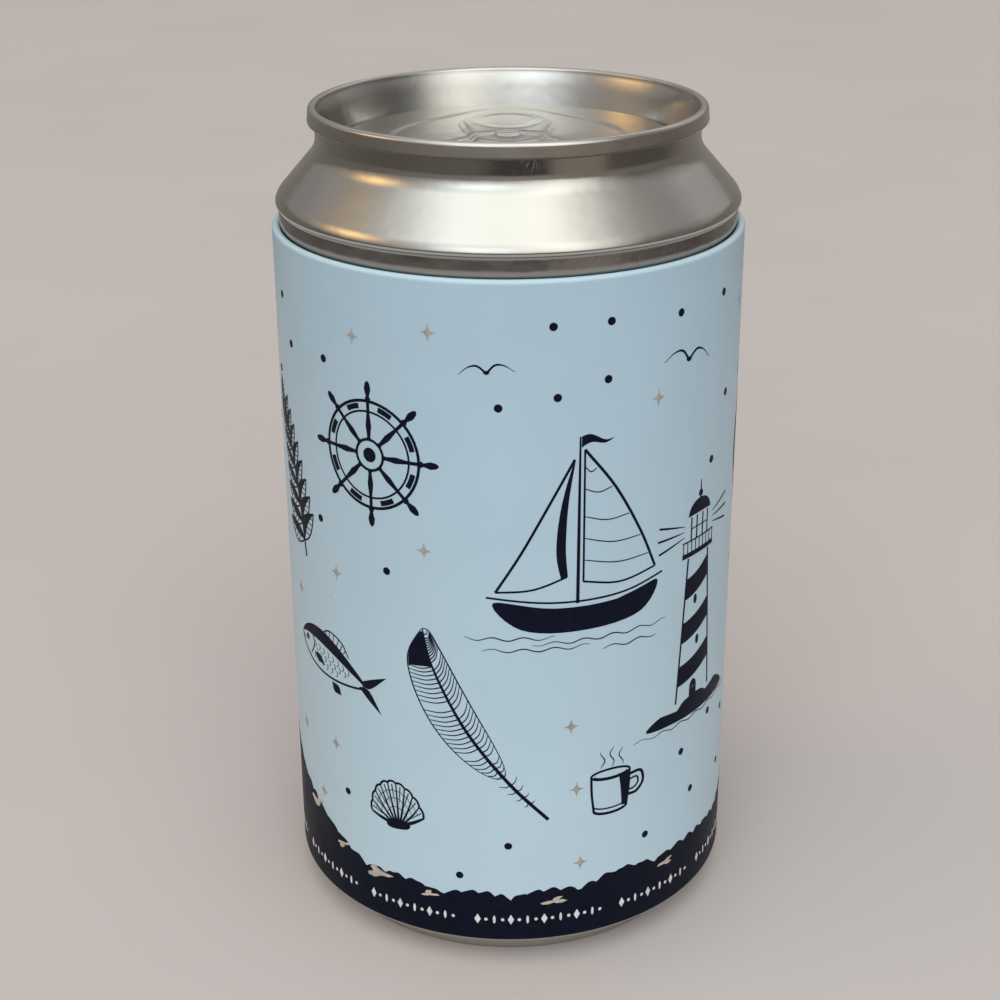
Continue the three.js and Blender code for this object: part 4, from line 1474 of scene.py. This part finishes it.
def tin_material(scene, name, tone, gloss, pitch, worn, painted_shade_zone=None):
    """Turned tinplate: ring marks in the bump, patches in the gloss, fine scratches across and
    a faint greasy film. The painted shade's three numbers are the level that it lies below, the
    radius that it lies outside, and its share of the metal's tone where it isn't shaded."""
    graph, shader = new_material(name)
    rings = graph.effect("Spin marks", pitch=pitch)
    film = graph.uneven(0.02)
    common = {"amount": worn, "radius": scene.tin_lid.shoulder_radius}
    slanted = graph.effect("Scratches", length=0.0022, width=0.00011, tilt=-0.55, **common)
    upright = graph.effect("Scratches", length=0.005, width=0.00006, tilt=0.2, **common)
    marks = graph.maths("MAXIMUM", slanted, graph.maths("MULTIPLY", upright, 0.6))
    rough = graph.mix_number(film, gloss * 0.85, gloss * 1.2)
    rough = graph.maths("ADD", rough, graph.maths("MULTIPLY", rings, 0.02))
    rough = graph.maths("ADD", rough, graph.maths("MULTIPLY", marks, 0.22))
    shade = graph.between(film, tone, 0.96, 1.04)
    shade = graph.cover(shade, marks, 0.35, full(tone, 1.25))
    # Painted shade: the metal's tone is darkened below a level and outside a radius.
    if painted_shade_zone:
        top, inside, share = painted_shade_zone
        shade = graph.mix(painted_shade_mask(graph, top, inside), shade, full(tone, share))
    sockets = {"Height": rings, "Strength": 0.06, "Distance": 0.00001}
    bump = graph.add("Bump", sockets).outputs[0]
    for height, strength, distance in ((marks, 0.25, 0.00001), (graph.uneven(0.011), 0.5, 0.00012)):
        sockets = {"Height": height, "Strength": strength, "Distance": distance, "Normal": bump}
        bump = graph.add("Bump", sockets).outputs[0]
    graph.feed(shader, {"Base Color": shade, "Roughness": rough, "Normal": bump, "Metallic": 1.0})


def ink_material(name, tone, gloss=0.4):
    """Printing ink: a slightly uneven, satin layer with a few pinholes of another tone."""
    graph, shader = new_material(name)
    holes = graph.effect("Specks", spacing=0.0018, size=0.00022)
    shade = graph.between(graph.uneven(0.0012), tone, 0.85, 1.2)
    shade = graph.cover(shade, holes, 0.5, full(tone, 2.2))
    satin = graph.uneven(0.006, 0.4, 0.5)
    graph.feed(shader, {"Base Color": shade, "Roughness": satin, "Specular IOR Level": gloss})


def stage_materials(scene):
    """Floor and card, without any gloss. The card's own tone attribute darkens it."""
    tones = scene.tin_colours
    graph, floor = new_material("Floor")
    floor_tone = graph.between(graph.uneven(0.12), tones.floor, 0.98, 1.02)
    graph.feed(floor, {"Base Color": floor_tone, "Roughness": 1.0, "Specular IOR Level": 0})
    graph, card = new_material("Card")
    card_tone = graph.between(graph.carried("tone"), tones.card, 0, 1)
    graph.feed(card, {"Base Color": card_tone, "Roughness": 1.0, "Specular IOR Level": 0})


class TIN_OT_materials(bpy.types.Operator):
    """Make the shared effects and every material of the tin"""

    bl_idname = "tin.materials"
    bl_label = "Materials"

    def execute(self, context):
        scene = context.scene
        tones, lid = scene.tin_colours, scene.tin_lid
        for effect in EFFECTS:
            make_effect(*effect)
        print_material(scene)
        # Painted shade: the lid shell below the middle of the shoulder's lower edge is darkened to 0.66 of
        # its tone, and the end's rounding under the rim to 0.3.
        band = (scene.tin_body.top + lid.shoulder_lift - lid.shoulder_under / 2, 0, 0.66)
        rim_underside_shade = (lid.rim_crest - lid.rim_height + lid.rim_under, neck_radius(lid), 0.3)
        tin_material(scene, "Lid tinplate", tones.tin, 0.15, 0.0005, 0.25, band)
        tin_material(scene, "End tinplate", tones.tin, 0.17, 0.0006, 0.1, rim_underside_shade)
        tin_material(scene, "Base tinplate", tones.dull_tin, 0.3, 0.0004, 0.4)
        tin_material(scene, "Inside tinplate", tones.dull_tin, 0.34, 0.0003, 0.3)
        ink_material("Navy ink", tones.navy, 0.06)
        ink_material("Stone ink", tones.stone)
        ink_material("Sand ink", tones.sand)
        ink_material("White ink", tones.white)
        stage_materials(scene)
        return {"FINISHED"}


class TIN_OT_wall(bpy.types.Operator):
    """Roll the printed wall with its curl, bottom corner and side lap"""

    bl_idname = "tin.wall"
    bl_label = "Printed wall"

    def execute(self, context):
        mesh, materials = wall_mesh(context.scene), ["Printed ground", "Inside tinplate"]
        make_piece(mesh, materials, "can_body", ["body_shell"])
        return {"FINISHED"}


class TIN_OT_base(bpy.types.Operator):
    """Turn the base end with its standing ring and beaded panel"""

    bl_idname = "tin.base"
    bl_label = "Seamed base"

    def execute(self, context):
        mesh, materials = base_mesh(context.scene), ["Base tinplate"]
        make_piece(mesh, materials, "can_body", ["base_end"])
        return {"FINISHED"}


class TIN_OT_shell(bpy.types.Operator):
    """Turn the lid's plug, band, shoulder, cone and neck"""

    bl_idname = "tin.shell"
    bl_label = "Plug shell"

    def execute(self, context):
        mesh, materials = shell_mesh(context.scene), ["Lid tinplate"]
        make_piece(mesh, materials, "lid", ["lid_shell"])
        return {"FINISHED"}


class TIN_OT_end(bpy.types.Operator):
    """Press the lid's end with its rim, countersink and false pull tab"""

    bl_idname = "tin.end"
    bl_label = "Pressed end"

    def execute(self, context):
        mesh, materials = end_mesh(context.scene), ["End tinplate"]
        make_piece(mesh, materials, "lid", ["lid_end"])
        return {"FINISHED"}


class TIN_OT_pictures(bpy.types.Operator):
    """Print the pictures round the wall, each as a piece of its own"""

    bl_idname = "tin.pictures"
    bl_label = "Pictures"

    def execute(self, context):
        scene = context.scene
        top = scene.tin_body.top
        for number, place in enumerate(PICTURES):
            draw, degrees, level_share, size_share, tilt = place
            marks = [
                laid(scene, mark, degrees, level_share * top, size_share * top, tilt)
                for mark in picture_marks(scene, place)
            ]
            mesh = make_mesh(f"print_{draw.__name__}_{number + 1}", marks)
            make_piece(mesh, ["Navy ink"], "can_body")
        return {"FINISHED"}


class TIN_OT_band(bpy.types.Operator):
    """Print the dark band with its hills, its row of ornaments and its flecks"""

    bl_idname = "tin.band"
    bl_label = "Dark band"

    def execute(self, context):
        scene = context.scene
        make_piece(band_mesh(scene), ["Navy ink"], "can_body")
        make_piece(ornament_mesh(scene), ["White ink"], "can_body")
        make_piece(fleck_mesh(scene), ["Sand ink"], "can_body")
        return {"FINISHED"}


class TIN_OT_scatter(bpy.types.Operator):
    """Scatter dots and four-pointed stars between the pictures"""

    bl_idname = "tin.scatter"
    bl_label = "Dots and stars"

    def execute(self, context):
        dots, stars = scatter_meshes(context.scene)
        make_piece(dots, ["Navy ink"], "can_body")
        make_piece(stars, ["Stone ink"], "can_body")
        return {"FINISHED"}


class TIN_OT_stage(bpy.types.Operator):
    """Lay the floor, hang the ring of card, set the lights and the camera"""

    bl_idname = "tin.stage"
    bl_label = "Stage"

    def execute(self, context):
        scene = context.scene
        scene.view_settings.view_transform = "Standard"
        make_floor(scene)
        make_card(scene)
        make_room_light(scene)
        hang_fill_lamp(scene)
        scene.camera = make_camera(scene)
        return {"FINISHED"}


def stage_sheet(scene, name, points, material):
    """An open sheet of the stage from a grid of points."""
    index = np.arange(points.shape[0] * points.shape[1]).reshape(points.shape[:2])
    quads = np.stack([index[:-1, :-1], index[:-1, 1:], index[1:, 1:], index[1:, :-1]], axis=-1)
    mesh = bpy.data.meshes.new(name)
    mesh.from_pydata(points.reshape(-1, 3).tolist(), [], quads.reshape(-1, 4).tolist())
    mesh.materials.append(bpy.data.materials[material])
    sheet = bpy.data.objects.new(name, mesh)
    scene.collection.objects.link(sheet)
    return sheet


FLOOR_LINES = 9  # of the floor's mesh, each way


def make_floor(scene):
    """A level floor under the tin."""
    half = scene.tin_stage.floor_half
    steps = np.linspace(-half, half, FLOOR_LINES)
    x, y = np.meshgrid(steps, steps)
    stage_sheet(scene, "floor", np.stack([x, y, 0 * x], axis=-1), "Floor")


# Tone of the card, as shares of its lightest one, at degrees to the right of the front
CARD_DEGREES = (-180, -150, -120, -16, -8, 20, 28, 52, 60, 100, 120, 180)
CARD_TONE_SHARES = (0.33, 0.28, 0.23, 0.21, 0.04, 0.04, 0.5, 0.5, 0.14, 0.14, 0.28, 0.33)

# Least tone of the card at shares of the way from its foot to its top, and its fading with
# the degrees from the front
CARD_RISE_SHARES = (0, 0.15, 0.33, 0.5, 1)
CARD_LEAST_SHARES = (0.4, 0, 0, 0.68, 0.68)
CARD_FADE_DEGREES = (0, 30, 95, 180)
CARD_FADE_SHARES = (1, 0.85, 0.45, 0.3)


CARD_COLUMNS = 181  # points round the card


def make_card(scene):
    """A ring of card round the tin, darker and lighter by turns. Only reflections show it."""
    stage = scene.tin_stage
    way = np.linspace(-math.pi, math.pi, CARD_COLUMNS)
    share, least = np.array(CARD_RISE_SHARES)[:, None], np.array(CARD_LEAST_SHARES)[:, None]
    rise = stage.card_low + (stage.card_high - stage.card_low) * share
    card = stage_sheet(scene, "card", about_axis(stage.card_far + 0 * rise, way, rise), "Card")
    card.visible_camera = card.visible_diffuse = card.visible_shadow = card.visible_transmission = False
    least = least * np.interp(np.abs(np.degrees(way)), CARD_FADE_DEGREES, CARD_FADE_SHARES)
    tone = np.maximum(np.interp(np.degrees(way), CARD_DEGREES, CARD_TONE_SHARES), least)
    attribute = card.data.attributes.new("tone", "FLOAT", "POINT")
    attribute.data.foreach_set("value", tone.astype(np.float32).ravel())


# Soft lights of the room: degrees to the right of the front, degrees above the level, spread
# across and spread up as shares of the sphere's radius, and the light's colour and strength.
SOFT_LIGHTS = (
    (-44, 60, 0.42, 0.33, (1.12, 1.2, 1.16)),
    (-17, 31, 0.39, 0.27, (1.36, 1.48, 1.56)),
    (32, 48, 0.39, 1.2, (1.45, 1.48, 1.4)),
    (-88, 29, 0.25, 0.17, (1.8, 1.09, 0.35)),
    (72, 5, 0.55, 0.35, (-0.27, -0.25, -0.24)),
    (150, 28, 0.5, 0.35, (0.22, 0.22, 0.22)),
    (180, 44, 0.5, 0.14, (0.8, 0.8, 0.82)),
)


def towards(turn, rise):
    """Direction to the right of the front by one angle, and above the level by another."""
    level = math.cos(rise)
    return Vector((math.sin(turn) * level, -math.cos(turn) * level, math.sin(rise)))


def make_room_light(scene):
    """An even light from everywhere, with soft bells of light on it. A bell about an axis is
    exp(-(across / wide) squared - (up / high) squared) times the part of the way along it."""
    world = bpy.data.worlds.new("Room light")
    world.use_nodes = True
    graph = Graph(world.node_tree)
    way = graph.add("TexCoord").outputs["Generated"]
    total = (*scene.tin_stage.room,)
    for turn, rise, wide, high, tone in SOFT_LIGHTS:
        turn, rise = math.radians(turn), math.radians(rise)
        across, axis = Vector((math.cos(turn), math.sin(turn), 0)), towards(turn, rise)
        parts = []
        for direction, spread in ((across, wide), (axis.cross(across), high)):
            part = graph.vectors("DOT_PRODUCT", way, direction / spread)
            parts.append(graph.maths("MULTIPLY", part, part))
        bell = graph.maths("EXPONENT", graph.maths("MULTIPLY", graph.maths("ADD", *parts), -1.0))
        along = graph.vectors("DOT_PRODUCT", way, axis)
        bell = graph.maths("MULTIPLY", bell, graph.maths("MAXIMUM", along, 0.0))
        light = graph.add("VectorMath", {0: tone, "Scale": bell}, operation="SCALE").outputs[0]
        total = graph.add("VectorMath", {0: total, 1: light}, operation="ADD").outputs[0]
    seen = graph.add("LightPath").outputs["Is Camera Ray"]
    total = graph.mix(seen, total, full(scene.tin_colours.floor))
    world.node_tree.links.new(total, world.node_tree.nodes["Background"].inputs["Color"])
    scene.world = world


def hang_fill_lamp(scene):
    """A large soft lamp for matt surfaces, which reflections don't show."""
    stage = scene.tin_stage
    lamp = bpy.data.lights.new("Fill lamp", "AREA")
    lamp.size = stage.fill_size
    lamp.energy = stage.fill
    away = towards(stage.fill_turn, stage.fill_rise)
    hung = bpy.data.objects.new("Fill lamp", lamp)
    hung.location = Vector((0, 0, scene.tin_body.top)) + stage.fill_far * away
    hung.rotation_euler = away.to_track_quat("Z", "Y").to_euler()
    hung.visible_glossy = False
    scene.collection.objects.link(hung)


def make_camera(scene):
    """The camera before the tin, which looks down on it."""
    stage = scene.tin_stage
    data = bpy.data.cameras.new("Camera")
    data.lens = stage.lens
    data.clip_start = stage.nearest
    camera = bpy.data.objects.new("Camera", data)
    aim = Euler((QUARTER - stage.view_drop, 0, -stage.view_turn)).to_matrix().to_4x4()
    place = Matrix.Translation((0, -stage.view_back, stage.view_up))
    camera.matrix_world = place @ aim @ Matrix.Rotation(stage.view_roll, 4, "Z")
    scene.collection.objects.link(camera)
    return camera


class TIN_PT_panel(bpy.types.Panel):
    """Steps and sizes of the tin"""

    bl_label = "Storage tin"
    bl_idname = "TIN_PT_panel"
    bl_space_type = "VIEW_3D"
    bl_region_type = "UI"
    bl_category = "Tin"

    def draw(self, context):
        for operator in OPERATORS:
            self.layout.operator(operator.bl_idname)
        for name in GROUPS:
            box = self.layout.box()
            group = getattr(context.scene, name)
            box.label(text=name.replace("tin_", "").capitalize())
            for key in group.__annotations__:
                box.prop(group, key)


OPERATORS = (TIN_OT_materials, TIN_OT_wall, TIN_OT_base, TIN_OT_shell, TIN_OT_end, TIN_OT_pictures,
             TIN_OT_band, TIN_OT_scatter, TIN_OT_stage)
GROUPS = {
    "tin_sheet": SheetSizes,
    "tin_body": BodySizes,
    "tin_lid": LidSizes,
    "tin_relief": ReliefSizes,
    "tin_print": PrintSizes,
    "tin_colours": Colours,
    "tin_stage": StageSizes,
}


def register():
    for group in GROUPS.values():
        bpy.utils.register_class(group)
    for operator in OPERATORS:
        bpy.utils.register_class(operator)
    bpy.utils.register_class(TIN_PT_panel)
    for name, group in GROUPS.items():
        setattr(bpy.types.Scene, name, PointerProperty(type=group))


def unregister():
    for name in GROUPS:
        delattr(bpy.types.Scene, name)
    bpy.utils.unregister_class(TIN_PT_panel)
    for operator in reversed(OPERATORS):
        bpy.utils.unregister_class(operator)
    for group in reversed(GROUPS.values()):
        bpy.utils.unregister_class(group)


def main():
    register()
    bpy.ops.tin.materials()
    bpy.ops.tin.wall()
    bpy.ops.tin.base()
    bpy.ops.tin.shell()
    bpy.ops.tin.end()
    bpy.ops.tin.pictures()
    bpy.ops.tin.band()
    bpy.ops.tin.scatter()
    bpy.ops.tin.stage()


if __name__ == "__main__":
    main()
